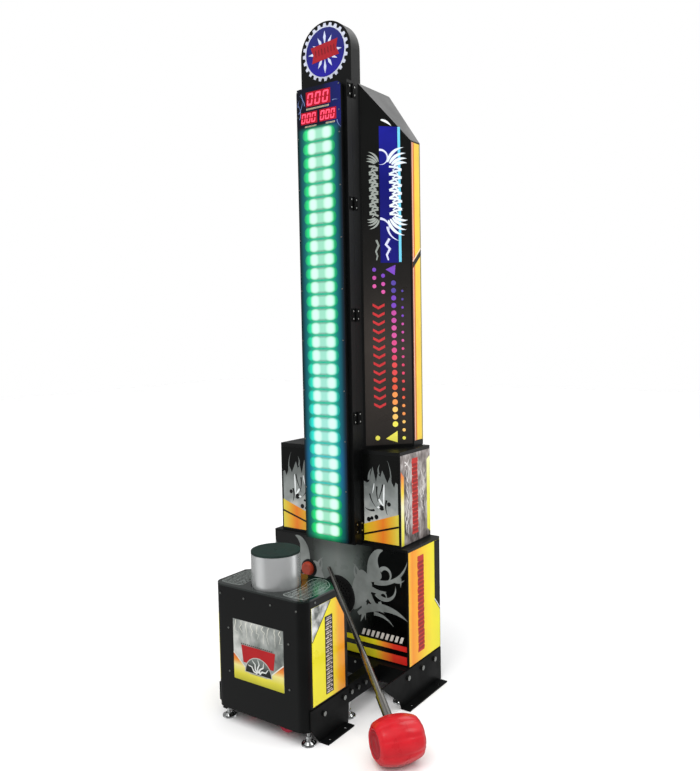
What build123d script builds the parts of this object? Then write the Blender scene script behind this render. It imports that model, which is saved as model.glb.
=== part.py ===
"""Hammer strength tester (high striker) arcade machine.

Millimetres, +Z up, the front of the machine faces -Y. The origin is on the floor at the centre of the
four floor-anchor holes of the cabinet brackets. A stepped cabinet carries a tall column with a hinged
light door, a winged tower stands behind the column, and a strike box with a sprung anvil is bolted in
front of the cabinet on two short beams. A loose hammer leans on the front of the cabinet.
"""
from build123d import *
import math
import os

os.makedirs("parts", exist_ok=True)

# ---- driving dimensions -------------------------------------------------------------------------
SHEET = 3.0                 # steel sheet of the cabinets
ART = 1.0                   # printed plastic art panels
FIT = 0.2                   # gap round a fixed piece in its hole
RUN = 0.05                  # radial running fit of pins and shafts

LOWER_HALF_W = 314.0
LOWER_FRONT_Y = -80.0
LOWER_REAR_Y = 160.0
LOWER_BOTTOM_Z = 65.0
LOWER_TOP_Z = 568.0

SHOULDER_HALF_W = 280.4
SHOULDER_FRONT_Y = -70.5
SHOULDER_REAR_Y = 150.5
SHOULDER_TOP_Z = 923.0

COLUMN_HALF_W = 113.9
COLUMN_FRONT_Y = -96.0
COLUMN_REAR_Y = -39.0
COLUMN_ARCH_Z = 2386.1      # centre of the round head
COLUMN_WALL = 2.5

WING_INNER_Y = -55.0
WING_OUTER_HALF_W = 246.5
WING_OUTER_Y = 91.5
WING_REAR_Y = 160.0
WING_TOP_Z = 2267.7
WING_SHOULDER_Z = 2071.2

STRIKE_HALF_W = 202.7
STRIKE_FRONT_Y = -548.3
STRIKE_REAR_Y = -312.0
STRIKE_CORNER_R = 36.5
STRIKE_BOTTOM_Z = 52.0
STRIKE_TOP_Z = 496.3
STRIKE_PLATE_T = 6.3
STRIKE_BASE_Z = 98.0

ANVIL_Y = -445.2
ANVIL_R = 85.6
ANVIL_TOP_Z = 617.6
ANVIL_BOTTOM_Z = 466.0
ANVIL_WALL = 5.0
PAD_T = 8.0
SHAFT_R = 14.0
SHAFT_BOTTOM_Z = 331.7

DOOR_HALF_W = 99.4          # light box of the door
DOOR_FRONT_Y = -147.4
DOOR_STEP_Y = -126.0        # where the light box meets the wider base of the door
DOOR_REAR_Y = -96.5
DOOR_BOTTOM_Z = 570.5
DOOR_BOX_BOTTOM_Z = 578.6
DOOR_BOX_TOP_Z = 2258.9
DOOR_TOP_Z = 2266.0
DOOR_SHEET = 2.0
DOOR_PANEL_T = 3.0
DOOR_TOP_CORNER_R = 16.0     # the two top corners of the light box

BAR_COUNT = 30
BAR_PITCH = 50.57
BAR_LENGTH = 146.0
BAR_HEIGHT = 43.5
BAR_FIRST_Z = 620.7

HINGE_ZS = (632.0, 1044.0, 1425.5, 1829.5, 2231.0)
HINGE_AXIS_OUT = 4.1        # hinge axis stands this far out of the panel face
KNUCKLE_R = 4.0

HEAD_R = 79.0               # hammer head at its middle
HEAD_END_R = 61.0
HEAD_LENGTH = 156.0
HEAD_CENTRE = (487.0, -448.0, HEAD_R)
HANDLE_TIP = (-34.0, -91.0, 452.0)
HANDLE_R_HEAD = 13.8
HANDLE_R_TIP = 7.0


# ---- helpers ------------------------------------------------------------------------------------
def block(x0, x1, y0, y1, z0, z1):
    """Box between two corners."""
    return Pos((x0 + x1) / 2, (y0 + y1) / 2, (z0 + z1) / 2) * Box(x1 - x0, y1 - y0, z1 - z0)


def rod_z(x, y, z0, z1, r):
    return Pos(x, y, (z0 + z1) / 2) * Cylinder(r, z1 - z0)


def rod_y(x, z, y0, y1, r):
    return Pos(x, (y0 + y1) / 2, z) * Rot(90, 0, 0) * Cylinder(r, y1 - y0)


def rod_x(y, z, x0, x1, r):
    return Pos((x0 + x1) / 2, y, z) * Rot(0, 90, 0) * Cylinder(r, x1 - x0)


def prism_z(points, z0, z1):
    """Outline in plan, pulled up from z0 to z1."""
    face = make_face(Polyline(*points, close=True))
    return Pos(0, 0, z0) * extrude(face, z1 - z0, dir=(0, 0, 1))


def prism_y(points, y0, y1):
    """Outline of (x, z) points seen from the front, between y0 and y1."""
    plane = Plane(origin=(0, y0, 0), x_dir=(1, 0, 0), z_dir=(0, -1, 0))
    face = plane * make_face(Polyline(*points, close=True))
    return extrude(face, y1 - y0, dir=(0, 1, 0))


def prism_x(points, x0, x1):
    """Outline of (y, z) points seen from the side, between x0 and x1."""
    plane = Plane(origin=(x0, 0, 0), x_dir=(0, 1, 0), z_dir=(1, 0, 0))
    face = plane * make_face(Polyline(*points, close=True))
    return extrude(face, x1 - x0, dir=(1, 0, 0))


def rounded_block(half_w, y0, y1, z0, z1, r):
    """Box with its two front upright edges rounded, centred on x = 0."""
    middle = (y0 + y1) / 2
    face = Pos(0, middle, z0) * RectangleRounded(2 * half_w, y1 - y0, r)
    return extrude(face, z1 - z0, dir=(0, 0, 1)) + block(-half_w, half_w, middle, y1, z0, z1)


def pill_y(x, z, length, height, y0, y1):
    """Slot-shaped bar lying along X, between y0 and y1."""
    plane = Plane(origin=(x, y0, z), x_dir=(1, 0, 0), z_dir=(0, -1, 0))
    return extrude(plane * SlotOverall(length, height), y1 - y0, dir=(0, 1, 0))


def mirrored(shape):
    return mirror(shape, about=Plane.YZ)


def both_sides(shape):
    """The piece and its mirror image, as separate solids."""
    return [shape, mirrored(shape)]


def save(name, shapes):
    """Write one node. A list becomes a group of separate solids."""
    if isinstance(shapes, (list, tuple)):
        solids = [solid for shape in shapes for solid in shape.solids()]
        shapes = Compound(children=solids) if len(solids) > 1 else solids[0]
    shapes.label = name
    export_step(shapes, f"parts/{name}.step")


def hex_head(point, direction, across, thickness):
    """Hexagon bolt head sitting on a face at point, standing out along direction."""
    plane = Plane(origin=point, z_dir=direction)
    return extrude(plane * RegularPolygon(across / 2, 6, major_radius=False), thickness)


def screw_head(point, direction, radius, height):
    """Low screw head with a bevelled rim."""
    plane = Plane(origin=point, z_dir=direction)
    return extrude(plane * Circle(radius), height, taper=20)


# ---- lower cabinet ------------------------------------------------------------------------------
SPEAKER_Z = 347.0
SPEAKER_R = 78.0
BUTTON_X = -140.0
BUTTON_Z = 431.0
REAR_DOOR_HALF_W = 229.0
REAR_DOOR_Z = (141.0, 499.0)
INLET_X = 200.0
INLET_Z = 104.0
SWITCH_X = 140.0
ROCKER_PIVOT_DEPTH = 2.0    # the rocker's pin is this far behind the outer face
ROCKER_PIN_R = 1.3
LOCK_DEPTH = 4.0            # the rear lock reaches this far behind the outer face


def lower_cabinet():
    outer = block(-LOWER_HALF_W, LOWER_HALF_W, LOWER_FRONT_Y, LOWER_REAR_Y, LOWER_BOTTOM_Z, LOWER_TOP_Z)
    inner = block(-LOWER_HALF_W + SHEET, LOWER_HALF_W - SHEET, LOWER_FRONT_Y + SHEET,
                  LOWER_REAR_Y - SHEET, LOWER_BOTTOM_Z + SHEET, LOWER_TOP_Z - SHEET)
    shell = outer - inner
    gap = 1.0
    shell -= block(-REAR_DOOR_HALF_W - gap, REAR_DOOR_HALF_W + gap, LOWER_REAR_Y - 10,
                   LOWER_REAR_Y + 10, REAR_DOOR_Z[0] - gap, REAR_DOOR_Z[1] + gap)
    shell -= rod_y(0, SPEAKER_Z, LOWER_FRONT_Y - 5, LOWER_FRONT_Y + 10, 66)
    shell -= rod_y(BUTTON_X, BUTTON_Z, LOWER_FRONT_Y - 5, LOWER_FRONT_Y + 10, 26)
    shell -= block(INLET_X - 24, INLET_X + 24, LOWER_REAR_Y - 10, LOWER_REAR_Y + 5, INLET_Z - 14, INLET_Z + 14)
    shell -= block(SWITCH_X - 12, SWITCH_X + 12, LOWER_REAR_Y - 10, LOWER_REAR_Y + 5, INLET_Z - 15, INLET_Z + 15)
    shell -= rod_z(0, 60, LOWER_TOP_Z - 10, LOWER_TOP_Z + 5, 30)
    return shell


def lower_art():
    front = block(-306, 306, LOWER_FRONT_Y - ART, LOWER_FRONT_Y, 137, 560)
    front -= rod_y(0, SPEAKER_Z, LOWER_FRONT_Y - 5, LOWER_FRONT_Y + 5, SPEAKER_R + 1)
    front -= rod_y(BUTTON_X, BUTTON_Z, LOWER_FRONT_Y - 5, LOWER_FRONT_Y + 5, 37)
    side = block(LOWER_HALF_W, LOWER_HALF_W + ART, LOWER_FRONT_Y + 4, LOWER_REAR_Y - 4, 132, 558)
    return front, side


def rear_door():
    panel = block(-REAR_DOOR_HALF_W, REAR_DOOR_HALF_W, LOWER_REAR_Y - SHEET, LOWER_REAR_Y, *REAR_DOOR_Z)
    for row in range(7):
        for side in (-1, 1):
            slot = pill_y(side * 90, 400 + row * 12, 110, 5, LOWER_REAR_Y - 10, LOWER_REAR_Y + 5)
            panel -= slot
    panel -= rod_y(200, 320, LOWER_REAR_Y - 10, LOWER_REAR_Y + 5, 9 + FIT)
    return panel


def lock_barrel_y(x, z):
    """Key lock through the rear door: rim, body and a key slot."""
    body = rod_y(x, z, LOWER_REAR_Y - LOCK_DEPTH, LOWER_REAR_Y + 3, 9)
    body += rod_y(x, z, LOWER_REAR_Y, LOWER_REAR_Y + 3, 12)
    body -= block(x - 0.8, x + 0.8, LOWER_REAR_Y + 1, LOWER_REAR_Y + 5, z - 5, z + 5)
    return body


def lock_cam_y(x, z):
    """Flat cam behind the lock, turning about Y, stored upright."""
    y1 = LOWER_REAR_Y - LOCK_DEPTH - 0.4
    plane = Plane(origin=(x, y1, z), x_dir=(0, 0, 1), z_dir=(0, -1, 0))
    return extrude(plane * Pos(16, 0) * SlotOverall(48, 16), 2.5)


# ---- shoulder box, column and tower -------------------------------------------------------------
def shoulder_box():
    outer = block(-SHOULDER_HALF_W, SHOULDER_HALF_W, SHOULDER_FRONT_Y, SHOULDER_REAR_Y, LOWER_TOP_Z, SHOULDER_TOP_Z)
    inner = block(-SHOULDER_HALF_W + SHEET, SHOULDER_HALF_W - SHEET, SHOULDER_FRONT_Y + SHEET,
                  SHOULDER_REAR_Y - SHEET, LOWER_TOP_Z + SHEET, SHOULDER_TOP_Z - SHEET)
    notch = block(-COLUMN_HALF_W, COLUMN_HALF_W, SHOULDER_FRONT_Y - 1, COLUMN_REAR_Y, LOWER_TOP_Z, SHOULDER_TOP_Z)
    lining = block(-COLUMN_HALF_W - SHEET, COLUMN_HALF_W + SHEET, SHOULDER_FRONT_Y,
                   COLUMN_REAR_Y + SHEET, LOWER_TOP_Z, SHOULDER_TOP_Z)
    return (outer - (inner - lining)) - notch


def shoulder_art():
    front = block(COLUMN_HALF_W + 6, SHOULDER_HALF_W - 7, SHOULDER_FRONT_Y - ART, SHOULDER_FRONT_Y, 578, 908)
    side = block(SHOULDER_HALF_W, SHOULDER_HALF_W + ART, SHOULDER_FRONT_Y + 3, SHOULDER_REAR_Y - 3, 574, 910)
    return [*both_sides(front), *both_sides(side)]


def column_outline(inset):
    """Front view of the column: straight sides and a round head."""
    w = COLUMN_HALF_W - inset
    z0 = LOWER_TOP_Z + inset
    path = Polyline((-w, COLUMN_ARCH_Z), (-w, z0), (w, z0), (w, COLUMN_ARCH_Z))
    arch = ThreePointArc((w, COLUMN_ARCH_Z), (0, COLUMN_ARCH_Z + w), (-w, COLUMN_ARCH_Z))
    return make_face(path + arch)


def column_solid(inset):
    y0 = COLUMN_FRONT_Y + inset
    y1 = COLUMN_REAR_Y - inset
    plane = Plane(origin=(0, y0, 0), x_dir=(1, 0, 0), z_dir=(0, -1, 0))
    return extrude(plane * column_outline(inset), y1 - y0, dir=(0, 1, 0))


CAM_Z = 1400.0


def led_column():
    shell = column_solid(0) - column_solid(COLUMN_WALL)
    shell -= block(-106, -90, COLUMN_FRONT_Y - 1, COLUMN_FRONT_Y + 5, CAM_Z - 10, CAM_Z + 30)
    for z in (700, 2200):
        shell -= rod_y(40, z, COLUMN_FRONT_Y - 1, COLUMN_FRONT_Y + 5, 15)
    return shell


def wing_outline(inset):
    """Plan of the tower: a flat back, short sides and two slanted fronts either side of the column."""
    slant = math.atan2(WING_OUTER_Y - WING_INNER_Y, WING_OUTER_HALF_W - COLUMN_HALF_W)
    along = inset * math.tan((math.pi / 2 - slant) / 2)
    side = WING_OUTER_HALF_W - inset
    outer_y = WING_OUTER_Y + along
    seat_y = COLUMN_REAR_Y + inset
    inner_x = side - (outer_y - seat_y) / math.tan(slant)
    if inset:
        front = [(inner_x, seat_y)]
    else:
        front = [(COLUMN_HALF_W, seat_y), (COLUMN_HALF_W, WING_INNER_Y)]
    right = [*front, (side, outer_y), (side, WING_REAR_Y - inset)]
    return right + [(-x, y) for x, y in reversed(right)]


def wing_front_view(inset):
    """Front view of the tower: a flat top with sloped shoulders."""
    slope = math.atan2(WING_TOP_Z - WING_SHOULDER_Z, WING_OUTER_HALF_W - COLUMN_HALF_W)
    side = WING_OUTER_HALF_W - inset
    flat = COLUMN_HALF_W - inset * math.tan(slope / 2)
    top = WING_TOP_Z - inset
    shoulder = top - (side - flat) * math.tan(slope)
    z0 = SHOULDER_TOP_Z + inset
    return [(-side, z0), (side, z0), (side, shoulder), (flat, top), (-flat, top), (-side, shoulder)]


def wing_solid(inset):
    plan = prism_z(wing_outline(inset), SHOULDER_TOP_Z + inset, WING_TOP_Z - inset)
    return plan & prism_y(wing_front_view(inset), WING_INNER_Y - 5, WING_REAR_Y + 5)


def tower_wing():
    shell = wing_solid(0) - wing_solid(SHEET)
    shell -= rod_y(0, 1500, WING_REAR_Y - 10, WING_REAR_Y + 5, 30)
    return shell


def wing_art():
    """Slanted front print and narrow side print of the right wing, then both mirrored."""
    dx = WING_OUTER_HALF_W - COLUMN_HALF_W
    dy = WING_OUTER_Y - WING_INNER_Y
    length = math.hypot(dx, dy)
    ux, uy = dx / length, dy / length
    nx, ny = uy, -ux

    def at(distance, out):
        return (COLUMN_HALF_W + ux * distance + nx * out, WING_INNER_Y + uy * distance + ny * out)

    def slope_z(distance):
        return WING_TOP_Z - (WING_TOP_Z - WING_SHOULDER_Z) * distance / length

    near, far = 8.0, length - 6.0
    plan = prism_z([at(near, 0), at(far, 0), at(far, ART), at(near, ART)], 935, WING_TOP_Z)
    cut_x0, cut_x1 = at(near, 0)[0] - 5, at(far, 0)[0] + 5
    slope = (WING_TOP_Z - WING_SHOULDER_Z) / dx
    line = [(cut_x0, 930), (cut_x1, 930), (cut_x1, slope_z(length) - 8 - slope * (cut_x1 - WING_OUTER_HALF_W)),
            (cut_x0, WING_TOP_Z - 8 - slope * (cut_x0 - COLUMN_HALF_W))]
    front = plan & prism_y(line, WING_INNER_Y - 10, WING_REAR_Y)
    side = block(WING_OUTER_HALF_W, WING_OUTER_HALF_W + ART, WING_OUTER_Y + 5, WING_REAR_Y - 4,
                 945, WING_SHOULDER_Z - 6)
    return [*both_sides(front), *both_sides(side)]


def tower_rear_panel():
    panel = block(-190, 190, WING_REAR_Y, WING_REAR_Y + 2, 1080, 1980)
    for row in range(12):
        panel -= pill_y(0, 1820 + row * 11, 160, 5, WING_REAR_Y - 5, WING_REAR_Y + 5)
    return panel


# ---- round head emblem --------------------------------------------------------------------------
EMBLEM_Z = COLUMN_ARCH_Z + 4
EMBLEM_R = 87.0
GEAR_ROOT_R = 92.5
GEAR_R = 103.0
GEAR_TEETH = 24


def emblem_disc():
    return rod_y(0, EMBLEM_Z, COLUMN_FRONT_Y - 3, COLUMN_FRONT_Y, EMBLEM_R)


def gear_ring():
    y0 = COLUMN_FRONT_Y - 2
    ring = rod_y(0, EMBLEM_Z, y0, COLUMN_FRONT_Y, GEAR_ROOT_R)
    foot = GEAR_ROOT_R - 2
    tooth = prism_y([(-8, foot), (8, foot), (5, GEAR_R), (-5, GEAR_R)], y0, COLUMN_FRONT_Y)
    for step in range(GEAR_TEETH):
        ring += Pos(0, 0, EMBLEM_Z) * Rot(0, step * 360 / GEAR_TEETH, 0) * tooth
    return ring - rod_y(0, EMBLEM_Z, y0 - 1, COLUMN_FRONT_Y + 1, EMBLEM_R + FIT)


# ---- light door ---------------------------------------------------------------------------------
def score_windows():
    """(x0, x1, z0, z1) of the large score window and the two small ones below it."""
    return [(-56, 56, 2190, 2243), (-81, -5, 2129, 2172), (5, 81, 2129, 2172)]


def light_box_slab(y0, y1, inset=0.0):
    """Upright slab with the light box's outline, its top corners rounded, moved in by inset."""
    half_w = DOOR_HALF_W - inset
    z0, z1 = DOOR_BOX_BOTTOM_Z + inset, DOOR_BOX_TOP_Z - inset
    r = DOOR_TOP_CORNER_R - inset
    slab = block(-half_w, half_w, y0, y1, z0, z1 - r)
    slab += block(-half_w + r, half_w - r, y0, y1, z1 - r, z1)
    for side in (-1, 1):
        slab += rod_y(side * (half_w - r), z1 - r, y0, y1, r)
    return slab


def door_frame():
    panel_back = DOOR_FRONT_Y + DOOR_PANEL_T
    base = block(-COLUMN_HALF_W, COLUMN_HALF_W, DOOR_STEP_Y, DOOR_REAR_Y, DOOR_BOTTOM_Z, DOOR_TOP_Z)
    base += light_box_slab(panel_back, DOOR_STEP_Y)
    t = DOOR_SHEET
    hollow = block(-COLUMN_HALF_W + t, COLUMN_HALF_W - t, DOOR_STEP_Y + t, DOOR_REAR_Y + 1,
                   DOOR_BOTTOM_Z + t, DOOR_TOP_Z - t)
    hollow += light_box_slab(panel_back + t, DOOR_STEP_Y + t, t)
    lip = 12.0
    hollow += light_box_slab(panel_back - 1, panel_back + t, lip)
    frame = base - hollow
    frame -= rod_x(-111, CAM_Z, -COLUMN_HALF_W - 5, -COLUMN_HALF_W + 10, 8 + FIT)
    return frame


def front_panel():
    panel = light_box_slab(DOOR_FRONT_Y, DOOR_FRONT_Y + DOOR_PANEL_T)
    for i in range(BAR_COUNT):
        panel -= pill_y(0, BAR_FIRST_Z + i * BAR_PITCH, BAR_LENGTH, BAR_HEIGHT, DOOR_FRONT_Y - 5, DOOR_FRONT_Y + 5)
    for x0, x1, z0, z1 in score_windows():
        panel -= block(x0, x1, DOOR_FRONT_Y - 5, DOOR_FRONT_Y + 5, z0, z1)
    return panel


def bar_lenses():
    """Domed light lenses, one in each pill-shaped hole of the front panel."""
    lenses = []
    for i in range(BAR_COUNT):
        lens = pill_y(0, BAR_FIRST_Z + i * BAR_PITCH, BAR_LENGTH - 2 * FIT, BAR_HEIGHT - 2 * FIT,
                      DOOR_FRONT_Y - 2.5, DOOR_FRONT_Y + 8)
        front_edges = lens.edges().filter_by(lambda e: e.center().Y < DOOR_FRONT_Y - 2)
        lenses.append(fillet(front_edges, 2.0))
    return lenses


def score_displays():
    displays = []
    for x0, x1, z0, z1 in score_windows():
        displays.append(block(x0 + FIT, x1 - FIT, DOOR_FRONT_Y + 1, DOOR_FRONT_Y + 9, z0 + FIT, z1 - FIT))
    return displays


def light_board():
    """Circuit board behind the bars with two light sources for each bar."""
    back = DOOR_FRONT_Y + 16
    board = block(-88, 88, back, back + 1.6, 592, 2246)
    lamps = []
    for i in range(BAR_COUNT):
        for x in (-28, 32):
            lamps.append(block(x - 5, x + 5, back - 2, back, BAR_FIRST_Z + i * BAR_PITCH - 5,
                               BAR_FIRST_Z + i * BAR_PITCH + 5))
    return [board, *lamps]


def door_screws():
    heights = [2249.0, 2158.0] + [2080.0 - 186.5 * i for i in range(8)]
    heads = []
    for z in heights:
        for x in (-93.5, 93.5):
            heads.append(screw_head((x, DOOR_FRONT_Y, z), (0, -1, 0), 3.2, 1.8))
    return heads


def hinge(length):
    """Butt hinge round the Z axis. The panels' outer face is the plane x = -HINGE_AXIS_OUT.

    Returns the fixed leaf with its pin (towards +Y) and the moving leaf (towards -Y).
    """
    leaf_t = 1.5
    x0 = -HINGE_AXIS_OUT
    third = length / 6
    gap = 0.4
    reach = 25.0
    clear = KNUCKLE_R + 0.5
    fixed = block(x0, x0 + leaf_t, clear, reach, -length / 2, length / 2)
    moving = block(x0, x0 + leaf_t, -reach, -clear, -length / 2, length / 2)
    for end in (-1, 1):
        zs = sorted((end * (third + gap), end * length / 2))
        fixed += block(x0, x0 + leaf_t, 0, clear, *zs)
        fixed += rod_z(0, 0, *zs, KNUCKLE_R)
    moving += block(x0, x0 + leaf_t, -clear, 0, -third, third)
    moving += rod_z(0, 0, -third, third, KNUCKLE_R)
    pin_r = 1.8
    moving -= rod_z(0, 0, -length, length, pin_r + RUN)
    fixed += rod_z(0, 0, -length / 2, length / 2, pin_r)
    for z in (-14, 14):
        fixed += rod_x(15.5, z, x0 + leaf_t, x0 + leaf_t + 1.4, 3.2)
        moving += rod_x(-15.5, z, x0 + leaf_t, x0 + leaf_t + 1.4, 3.2)
    return fixed, moving


def door_hinges():
    fixed, moving = hinge(48)
    axis_y = (COLUMN_FRONT_Y + DOOR_REAR_Y) / 2
    places = [Pos(COLUMN_HALF_W + HINGE_AXIS_OUT, axis_y, z) for z in HINGE_ZS]
    return [p * fixed for p in places], [p * moving for p in places]


def rear_hinges():
    fixed, moving = hinge(60)
    places = [Pos(-REAR_DOOR_HALF_W - 0.5, LOWER_REAR_Y + HINGE_AXIS_OUT, z) * Rot(0, 0, 90) for z in (190, 450)]
    return [p * fixed for p in places], [p * moving for p in places]


def door_lock():
    """Key lock through the left side of the light door, and its cam, stored upright."""
    side = -COLUMN_HALF_W
    barrel = rod_x(-111, CAM_Z, side - 2.5, side + 9, 8)
    barrel += rod_x(-111, CAM_Z, side - 2.5, side, 11)
    barrel -= block(side - 5, side - 1.5, -111.7, -110.3, CAM_Z - 4, CAM_Z + 4)
    plane = Plane(origin=(side + 9.4, -111, CAM_Z), x_dir=(0, 0, 1), z_dir=(1, 0, 0))
    cam = extrude(plane * Pos(10, 0) * SlotOverall(34, 13), 2.5, dir=(1, 0, 0))
    return barrel, cam


# ---- strike box and anvil -----------------------------------------------------------------------
CORNER_CUT_TOP_Y = -383.0   # where the slanted corner facet meets the top's side edge
CORNER_CUT_WIDTH = 70.0     # its width along the top's rear edge
CORNER_CUT_Z = 383.0        # where it meets the rear upright edge


def cut_rear_corners(shape, inset=0.0):
    """Slices the two top rear corners off along slanted planes, moved in by inset."""
    on_side = Vector(STRIKE_HALF_W, CORNER_CUT_TOP_Y, STRIKE_TOP_Z)
    on_rear = Vector(STRIKE_HALF_W - CORNER_CUT_WIDTH, STRIKE_REAR_Y, STRIKE_TOP_Z)
    on_edge = Vector(STRIKE_HALF_W, STRIKE_REAR_Y, CORNER_CUT_Z)
    out = (on_edge - on_side).cross(on_rear - on_side).normalized()
    origin = on_side - out * inset
    for side in (1, -1):
        plane = Plane(origin=(side * origin.X, origin.Y, origin.Z), z_dir=(side * out.X, out.Y, out.Z))
        shape = split(shape, bisect_by=plane, keep=Keep.BOTTOM)
    return shape


def strike_shell():
    top = STRIKE_TOP_Z - STRIKE_PLATE_T
    outer = rounded_block(STRIKE_HALF_W, STRIKE_FRONT_Y, STRIKE_REAR_Y, STRIKE_BOTTOM_Z, top, STRIKE_CORNER_R)
    inner = rounded_block(STRIKE_HALF_W - SHEET, STRIKE_FRONT_Y + SHEET, STRIKE_REAR_Y - SHEET,
                          STRIKE_BOTTOM_Z - 1, top + 1, STRIKE_CORNER_R - SHEET)
    return cut_rear_corners(outer) - cut_rear_corners(inner, SHEET)


def strike_top():
    plate = rounded_block(STRIKE_HALF_W, STRIKE_FRONT_Y, STRIKE_REAR_Y, STRIKE_TOP_Z - STRIKE_PLATE_T,
                          STRIKE_TOP_Z, STRIKE_CORNER_R)
    return cut_rear_corners(plate) - rod_z(0, ANVIL_Y, STRIKE_TOP_Z - 20, STRIKE_TOP_Z + 5, ANVIL_R + 2.4)


def strike_inner_plate(z0, z1):
    """Plate that fills the inside of the strike box."""
    inset = SHEET + FIT
    return rounded_block(STRIKE_HALF_W - inset, STRIKE_FRONT_Y + inset, STRIKE_REAR_Y - inset,
                         z0, z1, STRIKE_CORNER_R - inset)


def strike_art():
    front = block(-112.7, 112.7, STRIKE_FRONT_Y - ART, STRIKE_FRONT_Y, 174.5, 383.4)
    outline = [(-511, 132), (-329, 132), (-329, 392), (-375, 465), (-511, 465)]
    side = prism_x(outline, STRIKE_HALF_W, STRIKE_HALF_W + ART)
    return [front, *both_sides(side)]


BUSH_TOP_Z = 400.0
BUSH_BOTTOM_Z = 340.0


def cross_frame():
    """Plate across the strike box that carries the guide bush."""
    plate = cut_rear_corners(strike_inner_plate(380, 392), SHEET + FIT)
    for x in (-130, 130):
        plate -= block(x - 35, x + 35, ANVIL_Y - 60, ANVIL_Y + 60, 370, 400)
    return plate - rod_z(0, ANVIL_Y, 370, 400, 30 + FIT)


def guide_bush():
    bush = rod_z(0, ANVIL_Y, BUSH_BOTTOM_Z, BUSH_TOP_Z, 30)
    bush += rod_z(0, ANVIL_Y, 392, BUSH_TOP_Z, 42)
    return bush - rod_z(0, ANVIL_Y, BUSH_BOTTOM_Z - 1, BUSH_TOP_Z + 1, SHAFT_R + RUN)


def impact_sensor():
    """Load sensor block on a bar below the anvil shaft."""
    bar = block(-STRIKE_HALF_W + SHEET + FIT, STRIKE_HALF_W - SHEET - FIT, ANVIL_Y - 20, ANVIL_Y + 20, 250, 262)
    cell = block(-32, 32, ANVIL_Y - 32, ANVIL_Y + 32, 262, 278)
    cell += rod_z(0, ANVIL_Y, 278, 290, 18)
    return [bar, cell]


def anvil_drum():
    top = ANVIL_TOP_Z - PAD_T
    drum = rod_z(0, ANVIL_Y, ANVIL_BOTTOM_Z, top, ANVIL_R)
    drum -= rod_z(0, ANVIL_Y, ANVIL_BOTTOM_Z - 1, top - 10, ANVIL_R - ANVIL_WALL)
    return drum


def anvil_pad():
    pad = rod_z(0, ANVIL_Y, ANVIL_TOP_Z - PAD_T, ANVIL_TOP_Z, ANVIL_R)
    pad = fillet(pad.edges().sort_by(Axis.Z)[-1], 1.2)
    return pad - block(-7, 7, ANVIL_Y - 1.5, ANVIL_Y + 1.5, ANVIL_TOP_Z - 3, ANVIL_TOP_Z + 1)


def anvil_shaft():
    shaft = rod_z(0, ANVIL_Y, SHAFT_BOTTOM_Z, ANVIL_TOP_Z - PAD_T - 10, SHAFT_R)
    return shaft + rod_z(0, ANVIL_Y, SHAFT_BOTTOM_Z, BUSH_BOTTOM_Z - 0.3, 24)


def return_spring():
    """Compression spring round the shaft, between the bush and the drum."""
    wire_r = 2.5
    z0 = BUSH_TOP_Z + wire_r + 0.2
    z1 = ANVIL_TOP_Z - PAD_T - 10 - wire_r - 0.2
    path = Pos(0, ANVIL_Y, z0) * Helix(pitch=(z1 - z0) / 8, height=z1 - z0, radius=23)
    section = Plane(origin=path @ 0, z_dir=path % 0) * Circle(wire_r)
    return sweep(section, path=path, is_frenet=True)


# ---- base, brackets, feet and castors -----------------------------------------------------------
BEAM_OUT = 203.0
BEAM_Z = (65.0, 130.0)
CROSS_FRONT_Y = -110.0


def square_tube(outer, inner):
    return block(*outer) - block(*inner)


def base_beams():
    """Two short beams from the strike box to a cross member along the foot of the cabinet."""
    z0, z1 = BEAM_Z
    t = SHEET
    beam = square_tube((BEAM_OUT - 40, BEAM_OUT, STRIKE_REAR_Y, CROSS_FRONT_Y, z0, z1),
                       (BEAM_OUT - 40 + t, BEAM_OUT - t, STRIKE_REAR_Y - 1, CROSS_FRONT_Y + 1, z0 + t, z1 - t))
    cross = square_tube((-LOWER_HALF_W, LOWER_HALF_W, CROSS_FRONT_Y, LOWER_FRONT_Y, z0, z1),
                        (-LOWER_HALF_W - 1, LOWER_HALF_W + 1, CROSS_FRONT_Y + t, LOWER_FRONT_Y - t, z0 + t, z1 - t))
    return [*both_sides(beam), cross]


ANCHOR_R = 6.0
CABINET_ANCHOR = (335.0, 100.0)
STRIKE_ANCHOR = (224.0, -406.5, 45.0)
FLANGE_T = 5.0
WEB_T = 4.0


def cabinet_bracket():
    """Angle bracket with a tall web that reaches forward past the cross member."""
    web = prism_x([(-270, 128), (155, 128), (155, 0), (-140, 0), (-152, 30)], LOWER_HALF_W, LOWER_HALF_W + WEB_T)
    flange = block(LOWER_HALF_W, LOWER_HALF_W + 38, -140, 142, 0, FLANGE_T)
    bracket = web + flange
    for y in (-CABINET_ANCHOR[1], CABINET_ANCHOR[1]):
        bracket -= rod_z(CABINET_ANCHOR[0], y, -1, FLANGE_T + 1, ANCHOR_R)
    return bracket


def strike_bracket():
    x0 = STRIKE_HALF_W
    web_front = STRIKE_FRONT_Y + STRIKE_CORNER_R - 18
    web_rear = STRIKE_REAR_Y
    web = prism_x([(web_front, 125), (web_rear, 125), (web_rear - 8, 0), (-482, 0), (web_front, 62)],
                  x0, x0 + WEB_T)
    bracket = web + block(x0, x0 + 38, -482, -331, 0, FLANGE_T)
    centre_y, half = STRIKE_ANCHOR[1], STRIKE_ANCHOR[2]
    for y in (centre_y - half, centre_y + half):
        bracket -= rod_z(STRIKE_ANCHOR[0], y, -1, FLANGE_T + 1, ANCHOR_R)
    return bracket


def floor_brackets():
    return [*both_sides(cabinet_bracket()), *both_sides(strike_bracket())]


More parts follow.
